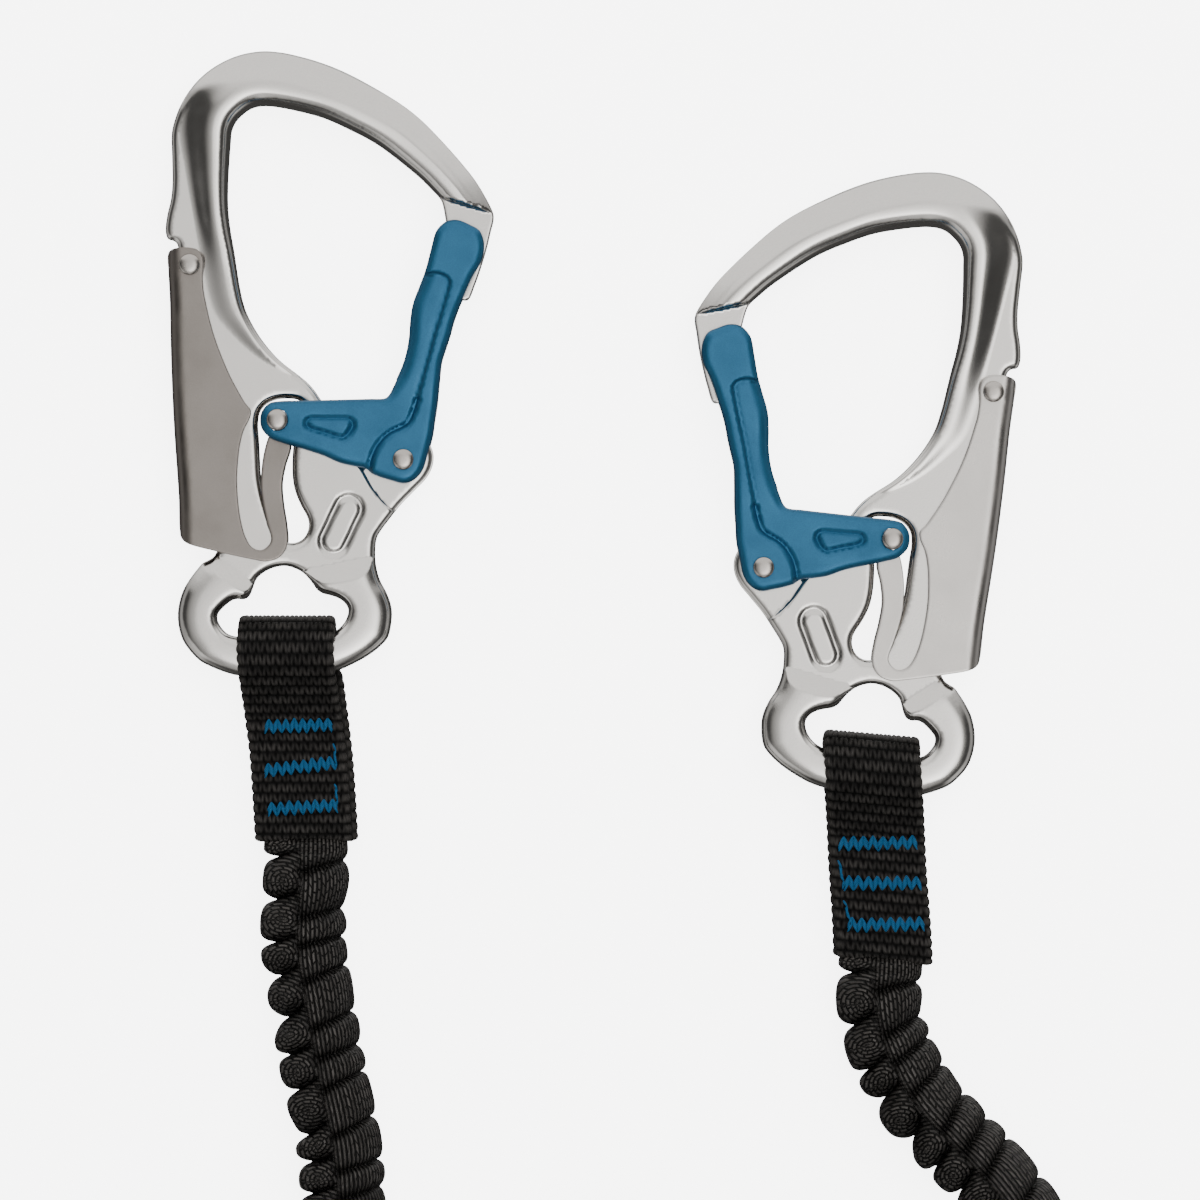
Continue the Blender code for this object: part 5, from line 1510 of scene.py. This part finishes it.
def arm_cloth():
    """Black webbing: ribs of weave on the bands and curls of yarn on the fold ends, with painted shade in
    the weave's gaps and the folds' valleys and painted light on the fold crests.
    """
    surface, tree, shader = shader_of("arm_webbing")
    heights = [
        placed(tree, WOVEN_YARNS, Place=map_of(tree, name), Length=length, Width=width, Gap=0.3)["Height"]
        for name, length, width in (("weave", 2.2, 0.85), ("curl", 1.7, 0.9))
    ]
    cloth = colour_between(tree, share_of(tree, "curl_share"), *heights)
    noise = add(tree, "TexNoise", Vector=own_place(tree), Scale=900.0, Detail=3.0).outputs["Fac"]
    # painted light: the yarns lit, the weave's gaps and the folds' valleys in painted shade
    crown = maths(tree, "POWER", cloth, ARM_CONTRAST)
    lit = maths(tree, "MULTIPLY", crown, share_of(tree, "painted_fold_light"))
    feed(
        tree, shader, Roughness=0.36, Specular_IOR_Level=0.2,
        Base_Color=colour_between(tree, lit, NO_LIGHT, ARM_CLOTH),
        Normal=bumped(tree, noise, 0.5, 0.12 * MM, Normal=bumped(tree, cloth, 1.0, 0.5 * MM)),
    )
    return surface


def arm_piece(side, route, surface):
    """One gathered arm, its rings closer together along the stretch nearest its connector."""
    line = smooth_line(route)
    length = line_length(line)
    fold = length / ARM_FOLDS
    near = np.linspace(0.0, FINE_FOLDS, FINE_FOLDS * FINE_RINGS, endpoint=False)
    far = np.linspace(FINE_FOLDS, ARM_FOLDS, (ARM_FOLDS - FINE_FOLDS) * COARSE_RINGS + 1)
    phases = np.concatenate([near, far])
    tucked = -np.linspace(ARM_TUCK / fold, 0.0, TUCK_RINGS, endpoint=False)
    phases = np.concatenate([tucked, phases, ARM_FOLDS - tucked[::-1]])
    on_line = np.clip(phases, 0.0, ARM_FOLDS)
    at, heading = along_line(line, on_line * fold)
    at = at + heading * (phases - on_line)[:, None] * fold
    sideways = left_of(heading)
    turns = np.arange(ARM_SIDES) / ARM_SIDES * math.tau
    phase, turn = np.meshgrid(phases, turns, indexing="ij")
    radius, curl_share, band_phase, full = fold_radius(phase + FIRST_FOLD, turn)
    ends = smoothstep(0.0, ARM_MOUTH_FOLDS, phase) * smoothstep(0.0, ARM_MOUTH_FOLDS, ARM_FOLDS - phase)
    wide, tall = (mouth * (1 - ends) + radius * ends for mouth in ARM_MOUTH)
    inside = np.clip(np.maximum(-phase, phase - ARM_FOLDS) * fold / ARM_TUCK, 0.0, 1.0)
    wide, tall = (size * (1 - inside) + mouth * inside for size, mouth in zip((wide, tall), TUCKED_MOUTH))
    flat = np.clip(np.sin(turn) * tall, FLOOR_GAP - ARM_HEIGHT, None)
    across = np.cos(turn) * wide
    x, y = (at[:, i][:, None] + sideways[:, i][:, None] * across for i in range(2))
    corners = np.stack([x, y, ARM_HEIGHT + flat], 2)
    faces = ring_faces(len(phases), ARM_SIDES)
    piece = new_piece(side + "_arm_webbing", corners.reshape(-1, 3), faces, surface)
    steps = np.linalg.norm(np.diff(corners, axis=0), axis=2)
    run = np.vstack([np.zeros((1, ARM_SIDES)), np.cumsum(steps, axis=0)])
    set_uv(piece, "weave", np.stack([run / MM, turn * 8.0], 2).reshape(-1, 2))
    number = np.floor(band_phase + 0.5)
    centre_phase = number - FIRST_FOLD + FOLD_TILT
    middle, centre_heading = along_line(line, np.clip(centre_phase * fold, 0, length).ravel())
    centre_side = left_of(centre_heading)
    each = number.ravel()
    middle = middle - centre_side * (CURL_PLACE + CURL_STRAY * np.sin(each * 5.3))[:, None]
    offset = corners.reshape(-1, 3)[:, :2] - middle
    ahead, aside = (offset * centre_heading).sum(1) * 1.2, (offset * centre_side).sum(1)
    angle = np.arctan2(ahead, aside)
    reach = np.hypot(ahead, aside) / MM + 0.3 * np.sin(2 * angle + each * 2.4)
    reach = reach + angle / math.tau * CURL_YARN
    set_uv(piece, "curl", np.stack([angle * 2.6 + reach * 0.35, reach], 1))
    set_share(piece, "curl_share", curl_share.ravel())
    # painted light on the folds: lit on their crests, painted shade in their valleys
    set_share(piece, "painted_fold_light", (0.12 + 0.88 * full**1.7).ravel())
    fixed(piece, "lanyard", side + "_elastic_arm")


arm_surface = arm_cloth()
arm_piece("left", LEFT_ARM_ROUTE, arm_surface)
arm_piece("right", RIGHT_ARM_ROUTE, arm_surface)

# Elastic cores
# Inside each arm runs a round elastic of rubber strands in a tight cover. It keeps its solid,
# which the gathered webbing hides, and gets the cover's fine ribs.


def elastic_cover():
    """Ribbed rubber, dull and dark, with painted shade darkening the grooves between its ribs."""
    surface, tree, shader = shader_of("elastic_rubber")
    ribs = add(tree, "TexWave", Vector=own_place(tree), Scale=300.0, Distortion=1.0).outputs["Fac"]
    feed(
        tree, shader, Roughness=0.7, Specular_IOR_Level=0.3,
        # painted shade: the rib grooves darker, the rib crests lighter
        Base_Color=colour_between(tree, ribs, (0.006, 0.006, 0.006), (0.02, 0.019, 0.018)),
        Normal=bumped(tree, ribs, 0.6, 0.1 * MM),
    )
    return surface


core_cover = elastic_cover()
for side in ("left", "right"):
    for core_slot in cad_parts[side + "_elastic_core"].material_slots:
        core_slot.material = core_cover

# Straps of the absorber
# Three straps of black webbing: the junction that both arms are sewn into, the tear webbing
# folded seven layers deep, and the doubled strap that opens into the tie-in loop.
JUNCTION_WIDTH = 40.0 * MM
JUNCTION_ENDS = (-217.2 * MM, -184.1 * MM)
JUNCTION_HEIGHT = 8.85 * MM
JUNCTION_LAYER = 1.65 * MM
JUNCTION_SHEET = 2.3 * MM
TEAR_WIDTH = 30.0 * MM
TEAR_SHEET = 2.0 * MM
TEAR_LOWEST = 4.3 * MM
TEAR_PITCH = 2.9 * MM
TEAR_ENDS = (-182.8 * MM, -118.2 * MM)
TEAR_LAYERS = 7
LOOP_WIDTH = 20.0 * MM
LOOP_SHEET = 2.2 * MM
LOOP_LAYER = 1.65 * MM
LOOP_HEIGHT = 13.0 * MM
LOOP_INNER_END = -116.6 * MM
LOOP_PART = -72.0 * MM
LOOP_CENTRE = -29.0 * MM
LOOP_RADIUS = 9.5 * MM
LOOP_WRAP = math.radians(95.0)


def absorber_strap(name, line, width, thickness, step, columns):
    """A webbing strap on the middle line of the absorber, along a line seen from the side."""
    places = np.linspace(0.0, line_length(line), int(line_length(line) / step))
    section = strap_section(width, thickness, columns)
    piece = woven_strip(name, line, places, section, np.zeros(len(places)), webbing)
    set_share(piece, "wear", np.zeros(len(piece.data.vertices)))
    fixed(piece, "lanyard", name)


def junction_line():
    low, high = JUNCTION_ENDS
    fold = high - JUNCTION_LAYER - JUNCTION_SHEET / 2 - WEAVE_HEIGHT
    turn = half_turn((fold, JUNCTION_HEIGHT), JUNCTION_LAYER, -math.pi / 2, math.pi / 2)
    start = (low, JUNCTION_HEIGHT - JUNCTION_LAYER)
    return np.vstack([start, turn, (low, JUNCTION_HEIGHT + JUNCTION_LAYER)])


def tear_line():
    near, far = TEAR_ENDS
    points = [(near, TEAR_LOWEST)]
    for layer in range(TEAR_LAYERS - 1):
        middle = TEAR_LOWEST + (layer + 0.5) * TEAR_PITCH
        centre = (far if layer % 2 == 0 else near, middle)
        sweep = (-math.pi / 2, math.pi / 2) if layer % 2 == 0 else (-math.pi / 2, -3 * math.pi / 2)
        points += [tuple(point) for point in half_turn(centre, TEAR_PITCH / 2, *sweep)]
    points.append((far, TEAR_LOWEST + (TEAR_LAYERS - 1) * TEAR_PITCH))
    return np.array(points)


def loop_line():
    wrap = half_turn((LOOP_CENTRE, LOOP_HEIGHT), LOOP_RADIUS, -LOOP_WRAP, LOOP_WRAP, 40)
    lower = np.array([
        (LOOP_INNER_END, LOOP_HEIGHT - LOOP_LAYER), (LOOP_PART - 8.0 * MM, LOOP_HEIGHT - LOOP_LAYER),
        (LOOP_PART, LOOP_HEIGHT - LOOP_LAYER - 0.1 * MM),
    ])
    upper = lower[::-1] * (1, -1) + (0.0, 2 * LOOP_HEIGHT)
    return rounded_line(np.vstack([lower, wrap, upper]), closed=False, parts=8)


absorber_strap("arm_junction", junction_line(), JUNCTION_WIDTH, JUNCTION_SHEET, 0.34 * MM, 200)
absorber_strap("tear_webbing", tear_line(), TEAR_WIDTH, TEAR_SHEET, 0.8 * MM, 60)
absorber_strap("tie_in_loop", loop_line(), LOOP_WIDTH, LOOP_SHEET, 0.35 * MM, 116)

# Bartacks of the absorber
# The same blue thread sews the arms into the junction in one long bar, and closes the tie-in
# loop with two short ones.
JUNCTION_SEAM = (((-15.6, -209.2), (15.6, -209.2)),)
JUNCTION_TEETH = 18
TIE_IN_SEAMS = (((-6.8, -73.4), (6.8, -73.4)), ((-6.8, -81.2), (6.8, -81.2)))
TIE_IN_LINKS = (((7.0, -74.6), (7.0, -80.4)),)
ABSORBER_SEW_GAP = 0.05 * MM
ABSORBER_PATTERNS = ((3, 0.5 * MM, 0.0),)

for name, bars, links, teeth, height, layer, sheet, seed in (
    (
        "junction_bartacks", JUNCTION_SEAM, (), JUNCTION_TEETH, JUNCTION_HEIGHT, JUNCTION_LAYER,
        JUNCTION_SHEET, 3,
    ),
    (
        "tie_in_bartacks", TIE_IN_SEAMS, TIE_IN_LINKS, TEETH_PER_BAR, LOOP_HEIGHT, LOOP_LAYER,
        LOOP_SHEET, 5,
    ),
):
    reach = layer + sheet / 2 + WEAVE_HEIGHT + ABSORBER_SEW_GAP
    sewn(
        name, bars, links, ABSORBER_PATTERNS, teeth, reach, Matrix.Translation((0.0, 0.0, height)), seed,
    )

# Absorber pouch
# A sewn sleeve of coated nylon keeps the tear webbing clean. Its two ends are gathered to the
# straps, tape binds the end seams, and the long edges have a piped seam.
POUCH_END_RADIUS = 5.0 * MM
POUCH_CORNER = 5.0 * MM
POUCH_SLIT = (20.4 * MM, 3.7 * MM, 8.85 * MM)
POUCH_MOUTH = (10.4 * MM, 3.55 * MM, 13.0 * MM)
POUCH_CLOTH = 1.2 * MM
POUCH_CREASES = 0.9 * MM
POUCH_GATHERS = 0.5 * MM
POUCH_SINK = 0.8 * MM
PIPING_RADIUS = 0.85 * MM
PIPING_RISE = 0.15 * MM
ZIP_FLAT = 5.0 * MM
LONG_PARTS, SHORT_PARTS, CORNER_PARTS = 54, 28, 18
POUCH_RINGS = 132
POUCH_BEAD = 0.7 * MM
POUCH_BEAD_WIDTH = 0.6 * MM
END_RINGS = 26
END_FACE, END_BEND = 0.55, 0.45
MOUTH_CORNER = 1.0 * MM
GATHER_COUNT, GATHER_START, GATHER_REACH = 21, 2.0 * MM, 26.0 * MM
SEAM_PLACE, SEAM_CALM = 0.3, (0.3, 2.4)
SAG_WIDTH, SAG_START = 0.62, 20.0 * MM
BEAD_START = (2.0 * MM, 6.0 * MM)
POUCH_FOOT, FOOT_FALL = 1.2 * MM, 0.5 * MM


def rounded_section(half_width, half_height, corner, middle):
    """Corners of a rounded rectangle, as many on every side whatever its size, and their way out."""
    points, outward = [], []
    straight_x, straight_z = half_width - corner, half_height - corner
    sides = (
        ((-straight_x, half_height), (straight_x, half_height), (0.0, 1.0), LONG_PARTS),
        ((half_width, straight_z), (half_width, -straight_z), (1.0, 0.0), SHORT_PARTS),
        ((straight_x, -half_height), (-straight_x, -half_height), (0.0, -1.0), LONG_PARTS),
        ((-half_width, -straight_z), (-half_width, straight_z), (-1.0, 0.0), SHORT_PARTS),
    )
    corners = (
        (straight_x, straight_z, math.pi / 2), (straight_x, -straight_z, 0.0),
        (-straight_x, -straight_z, -math.pi / 2), (-straight_x, straight_z, -math.pi),
    )
    for (start, end, way, parts), (x, z, turn) in zip(sides, corners):
        for share in np.arange(parts) / parts:
            points.append(np.array(start) + (np.array(end) - start) * share)
            outward.append(np.array(way))
        for share in np.arange(CORNER_PARTS) / CORNER_PARTS:
            angle = turn - share * math.pi / 2
            way = np.array([math.cos(angle), math.sin(angle)])
            points.append(np.array([x, z]) + way * corner)
            outward.append(way)
    start = LONG_PARTS + 2 * CORNER_PARTS + SHORT_PARTS + LONG_PARTS // 2
    points, outward = (np.roll(np.array(values), -start, 0) for values in (points, outward))
    return points + (0.0, middle), outward


def ring_at(section, along):
    """Points of a cross section at a place along the pouch, as corners in space."""
    return np.column_stack([section[:, 0], np.full(len(section), along), section[:, 1]])


def pouch_end(end, inward, mouth, half_width, half_height):
    """Rings of a gathered end, from its mouth over its face to the body, and their ways out."""
    rings, ways = [], []
    for share in np.linspace(0.0, 1.0, END_RINGS, endpoint=False):
        flat = min(share / END_FACE, 1.0)
        turn = max(share - END_FACE, 0.0) / END_BEND * math.pi / 2
        inset = POUCH_END_RADIUS * (1 - math.sin(turn))
        wide = mouth[0] + (half_width - POUCH_END_RADIUS - mouth[0]) * flat
        tall = mouth[1] + (half_height - POUCH_END_RADIUS - mouth[1]) * flat
        if share > END_FACE:
            wide, tall = half_width - inset, half_height - inset
        corner = min(MOUTH_CORNER + (POUCH_CORNER - MOUTH_CORNER) * share, tall * 0.9)
        points, out = rounded_section(wide, tall, corner, mouth[2] + (half_height - mouth[2]) * flat)
        rings.append(ring_at(points, end + inward * POUCH_END_RADIUS * (1 - math.cos(turn))))
        ways.append(ring_at(out * math.sin(turn), -inward * math.cos(turn)))
    return rings, ways


def pouch_piece(surface):
    """The sleeve with its creases, gathers and sag, the cloth's thickness given inwards."""
    low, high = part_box("absorber_pouch")
    half_width, half_height = high[0], (high[2] - low[2]) / 2
    near, near_ways = pouch_end(low[1], 1.0, POUCH_SLIT, half_width, half_height)
    far, far_ways = pouch_end(high[1], -1.0, POUCH_MOUTH, half_width, half_height)
    points, out = rounded_section(half_width, half_height, POUCH_CORNER, half_height)
    body = np.linspace(low[1] + POUCH_END_RADIUS, high[1] - POUCH_END_RADIUS, POUCH_RINGS)
    rings = np.array([*near, *(ring_at(points, along) for along in body), *far[::-1]])
    ways = np.array([*near_ways, *[ring_at(out, 0.0)] * POUCH_RINGS, *far_ways[::-1]])
    around = rings.shape[1]
    ring_share = np.arange(len(rings))[:, None] / len(rings)
    side_share = np.arange(around)[None, :] / around
    x, y, z = rings.transpose(2, 0, 1)
    upper = z > half_height
    end_share = np.minimum(y - low[1], high[1] - y)
    near_end = 1 - smoothstep(GATHER_START, GATHER_REACH, end_share)
    flat_top = np.where(upper, smoothstep(ZIP_FLAT, ZIP_FLAT * 1.9, np.abs(x)), 1.0)
    wave = np.sin(y / MM * 0.42 + 2.2 * np.sin(x / MM * 0.11 + 1.0) + z / MM * 0.21)
    wave = wave * np.sin(y / MM * 0.13 + x / MM * 0.17 + 0.6)
    wave = wave + 0.5 * np.sin(y / MM * 0.81 + x / MM * 0.35 - z / MM * 0.4)
    gather = np.sin(side_share * math.tau * GATHER_COUNT + 3.0 * np.sin(ring_share * 9.0)) * near_end
    seam = np.abs(x) - (half_width - POUCH_CORNER * SEAM_PLACE)
    loose = smoothstep(*SEAM_CALM, np.abs(seam) / MM)
    lift = -POUCH_CREASES * 0.5 * (1 + 0.6 * wave) * loose
    lift = lift - POUCH_GATHERS * 0.5 * (1 + gather) * near_end
    sag = np.exp(-((x / (half_width * SAG_WIDTH)) ** 2)) * upper * POUCH_SINK
    lift = (lift - sag * smoothstep(0.0, SAG_START, end_share)) * flat_top
    bead = POUCH_BEAD * np.exp(-((seam / POUCH_BEAD_WIDTH) ** 2)) * upper
    lift = lift + bead * smoothstep(*BEAD_START, end_share)
    lift = np.where(z < POUCH_FOOT, np.clip(lift, -FOOT_FALL, 0.0), lift)
    corners = rings + ways * lift[..., None]
    corners[..., 2] = np.maximum(corners[..., 2], 0.0)
    faces = ring_faces(len(rings), around, "open")
    piece = new_piece("absorber_pouch_cloth", corners.reshape(-1, 3), faces, surface)
    girth = np.cumsum(np.linalg.norm(np.diff(rings, axis=1, append=rings[:, :1]), axis=2), axis=1) / MM
    girth = np.broadcast_to(girth[len(rings) // 2], girth.shape)
    steps = np.linalg.norm(np.diff(rings, axis=0), axis=2).mean(1)
    along = np.concatenate([[0.0], np.cumsum(steps)])[:, None] / MM + np.zeros((1, around))
    set_uv(piece, "cloth", np.stack([girth, along], 2).reshape(-1, 2))
    wall = piece.modifiers.new("cloth", "SOLIDIFY")
    wall.thickness = POUCH_CLOTH
    wall.offset = -1.0
    applied(piece)
    fixed(piece, "lanyard", "absorber_pouch")


def pouch_fabric():
    """Coated nylon in a plain weave with painted shade in the weave's gaps, a little dusty in patches."""
    surface, tree, shader = shader_of("pouch_fabric")
    cloth = placed(
        tree, WOVEN_YARNS, Place=map_of(tree, "cloth"), Length=0.9, Width=0.45, Gap=0.1,
    )["Height"]
    dust = add(tree, "TexNoise", Vector=own_place(tree), Scale=70.0, Detail=5.0, Roughness=0.7)
    # painted shade: the weave's gaps darker than its yarns; the dust follows random noise
    clean = colour_between(tree, cloth, (0.002, 0.002, 0.002), (0.014, 0.014, 0.015))
    dusty = colour_between(tree, cloth, (0.004, 0.004, 0.004), (0.032, 0.032, 0.033))
    feed(
        tree, shader, Roughness=0.5, Specular_IOR_Level=0.3,
        Base_Color=colour_between(tree, dust.outputs["Fac"], clean, dusty),
        Normal=bumped(tree, cloth, 0.8, 0.2 * MM),
    )
    return surface


def cord_round(name, loop, radius, sides, surface):
    """A round cord along a closed line of points in space."""
    heading = np.roll(loop, -1, 0) - np.roll(loop, 1, 0)
    heading /= np.linalg.norm(heading, axis=1)[:, None]
    first = np.cross(heading, (0.0, 1.0, 0.0))
    first /= np.linalg.norm(first, axis=1)[:, None]
    second = np.cross(heading, first)
    corners, uv = [], []
    for step, (place, one, two) in enumerate(zip(loop, first, second)):
        for side in range(sides):
            turn = side / sides * math.tau
            corners.append(place + (one * math.cos(turn) + two * math.sin(turn)) * radius)
            uv.append((step * 0.6, side * 0.6))
    piece = new_piece(name, corners, ring_faces(len(loop), sides, "joined"), surface)
    set_uv(piece, "cloth", np.array(uv))
    fixed(piece, "lanyard")


pouch_nylon = pouch_fabric()
pouch_piece(pouch_nylon)
pouch_low, pouch_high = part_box("absorber_pouch")
piping_width, piping_middle = pouch_high[0] + PIPING_RISE, pouch_high[2] / 2
piping = rounded_section(piping_width, piping_middle + PIPING_RISE, POUCH_CORNER, piping_middle)[0]
piping[:, 1] = np.maximum(piping[:, 1], PIPING_RADIUS)
for end_name, seam_y in (
    ("near", pouch_low[1] + POUCH_END_RADIUS), ("far", pouch_high[1] - POUCH_END_RADIUS),
):
    cord_round("pouch_piping_" + end_name, ring_at(piping, seam_y), PIPING_RADIUS, 10, pouch_nylon)

# Pouch seams along the zip
# A dark thread sews the zip's tapes to the pouch, in one row of long stitches along each side.
# The numbers are millimetres.
ZIP_SEAM_ACROSS, ZIP_SEAM_SWAY = 4.3, 0.06
ZIP_SEAM_PITCH, ZIP_SEAM_STITCH, ZIP_SEAM_INSET = 3.1, 2.5, 10.5

seam_chance = random.Random(9)
seam_rows = []
for way in (-1, 1):
    for reached in np.arange(
        pouch_low[1] / MM + ZIP_SEAM_INSET, pouch_high[1] / MM - ZIP_SEAM_INSET, ZIP_SEAM_PITCH,
    ):
        sway = way * ZIP_SEAM_ACROSS + seam_chance.uniform(-ZIP_SEAM_SWAY, ZIP_SEAM_SWAY)
        seam_rows.append(((sway * MM, reached * MM), (sway * MM, (reached + ZIP_SEAM_STITCH) * MM)))
seam_corners, seam_faces, seam_twist = stitches(seam_rows, pouch_high[2], 1)
seam_thread = thread_finish("pouch_thread", (0.03, 0.03, 0.032))
zip_seams = new_piece("pouch_zip_seams", seam_corners, seam_faces, seam_thread)
set_uv(zip_seams, "twist", np.array(seam_twist))
fixed(zip_seams, "lanyard")

# Pouch zip and its slider
# The zip has two strips of tape with interlocking plastic teeth. A cast slider with a flat
# pull tab runs along it.
TOOTH_PITCH = 1.5 * MM
TOOTH_SIZE = (2.3 * MM, 1.05 * MM, 0.8 * MM)
TOOTH_SHIFT = 0.42 * MM
TOOTH_SQUEEZE = (1.0, 0.62, 1.0)
TAPE_THICKNESS = 0.4 * MM
SADDLE_SIZE = (7.0 * MM, 8.0 * MM, 1.0 * MM)
SADDLE_PLACE, SADDLE_TAPER = 4.0 * MM, 0.28
BRIDGE_SIZE = (2.0 * MM, 4.6 * MM, 0.7 * MM)
POST_WIDTH, POST_LENGTH, POST_PLACE = 2.0 * MM, 0.9 * MM, 1.85 * MM
PULL_SIZE = (3.5 * MM, 13.0 * MM, 0.9 * MM)
PULL_GAP = 0.15 * MM
NECK_WIDTH, NECK_THICKNESS = 1.9 * MM, 0.7 * MM
RIB_SIZE = (2.5 * MM, 0.55 * MM, 0.5 * MM)
RIB_START, RIB_PITCH, RIB_COUNT = 1.6, 1.15, 6


def plastic(name, colour, roughness):
    """Moulded plastic with a fine skin and scuffs that catch the light."""
    surface, tree, shader = shader_of(name)
    skin = add(tree, "TexNoise", Vector=own_place(tree), Scale=2200.0, Detail=3.0).outputs["Fac"]
    dark, light = ([value * share for value in colour] for share in (0.7, 1.3))
    scuffs = add(
        tree, "MapRange", Value=skin, From_Min=0.3, From_Max=0.7, To_Min=roughness * 0.8,
        To_Max=roughness * 1.3,
    )
    feed(
        tree, shader, Roughness=scuffs.outputs[0], Base_Color=colour_between(tree, skin, dark, light),
        Normal=bumped(tree, skin, 0.3, 0.03 * MM),
    )
    return surface


def eased_block(name, size, centre, ease, segments=3):
    """A cuboid with rounded edges, added and bevelled in edit mode."""
    bpy.ops.mesh.primitive_cube_add(size=1.0, location=centre)
    piece = bpy.context.object
    piece.name = name
    piece.scale = size
    bpy.ops.object.transform_apply(location=True, rotation=True, scale=True)
    bpy.ops.object.mode_set(mode="EDIT")
    bpy.ops.mesh.select_all(action="SELECT")
    bpy.ops.mesh.bevel(offset=ease, segments=segments, affect="EDGES")
    bpy.ops.object.mode_set(mode="OBJECT")
    piece.select_set(False)
    return piece


def joined(name, parts, surface):
    """Pieces made one mesh of separate closed bodies."""
    corners, faces = [], []
    for part in parts:
        found, part_faces = shape_of(part) if isinstance(part, bpy.types.Object) else part
        first = len(corners)
        corners += [tuple(corner) for corner in found]
        faces += [tuple(first + corner for corner in face) for face in part_faces]
    piece = new_piece(name, corners, faces, surface)
    piece.data.shade_smooth()
    piece.data.set_sharp_from_angle(angle=math.radians(50.0))
    return piece


zip_low, zip_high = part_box("pouch_zip")
zip_length = zip_high[1] - zip_low[1]
tape_middle = (zip_low[1] + zip_high[1]) / 2
tape_half = (zip_high[0] - TOOTH_SHIFT) / 2
tapes = [
    eased_block(
        "tape", (tape_half * 2, zip_length, TAPE_THICKNESS),
        (way * (tape_half + TOOTH_SHIFT), tape_middle, zip_low[2] + TAPE_THICKNESS / 2), 0.12 * MM, 2,
    ) for way in (-1, 1)
]
tooth = shape_of(eased_block("tooth", TOOTH_SIZE, (0.0, 0.0, 0.0), 0.25 * MM, 2))
teeth = []
for number in range(int(zip_length / TOOTH_PITCH) * 2 - 2):
    way = 1 if number % 2 else -1
    along = zip_low[1] + (number + 1.5) * TOOTH_PITCH / 2
    place = np.array((way * TOOTH_SHIFT, along, zip_high[2] - TOOTH_SIZE[2] / 2))
    teeth.append(((np.array(tooth[0]) * TOOTH_SQUEEZE + place).tolist(), tooth[1]))
zip_plastic = plastic("zip_plastic", (0.012, 0.012, 0.013), 0.42)
zip_piece = joined("pouch_zip_teeth", [*tapes, *teeth], zip_plastic)
fixed(zip_piece, "lanyard", "pouch_zip")

(slider_near, slider_low), (slider_far, slider_high) = (corner[1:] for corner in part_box("zip_slider"))
saddle_y = slider_far - SADDLE_PLACE
saddle = eased_block(
    "saddle", SADDLE_SIZE, (0.0, saddle_y, slider_low + SADDLE_SIZE[2] / 2), 0.4 * MM, 4,
)
for vertex in saddle.data.vertices:
    if vertex.co.y < saddle_y:
        vertex.co.x *= 1 - SADDLE_TAPER * (saddle_y - vertex.co.y) / SADDLE_PLACE
bridge = eased_block(
    "bridge", BRIDGE_SIZE, (0.0, saddle_y, slider_high - BRIDGE_SIZE[2] / 2), 0.3 * MM, 3,
)
post_size = (POST_WIDTH, POST_LENGTH, slider_high - slider_low - 0.4 * MM)
posts = [
    eased_block(
        "post", post_size, (0.0, saddle_y + way * POST_PLACE, (slider_high + slider_low) / 2), 0.25 * MM, 2,
    ) for way in (-1, 1)
]
pull_height = slider_low + SADDLE_SIZE[2] + PULL_GAP + PULL_SIZE[2] / 2
pull_end = slider_near + PULL_SIZE[1]
pull = eased_block("pull", PULL_SIZE, (0.0, slider_near + PULL_SIZE[1] / 2, pull_height), 0.3 * MM, 3)
neck = eased_block(
    "neck", (NECK_WIDTH, slider_far - slider_near - PULL_SIZE[1] - 3.0 * MM, NECK_THICKNESS),
    (0.0, (pull_end + slider_far - SADDLE_PLACE) / 2, pull_height), 0.25 * MM, 2,
)
ribs = [
    eased_block(
        "rib", RIB_SIZE,
        (0.0, slider_near + (RIB_START + number * RIB_PITCH) * MM, pull_height + PULL_SIZE[2] / 2),
        0.18 * MM, 2,
    ) for number in range(RIB_COUNT)
]
slider = joined("zip_slider_cast", [saddle, bridge, *posts, pull, neck, *ribs], zip_plastic)
fixed(slider, "zip_slider", "zip_slider")
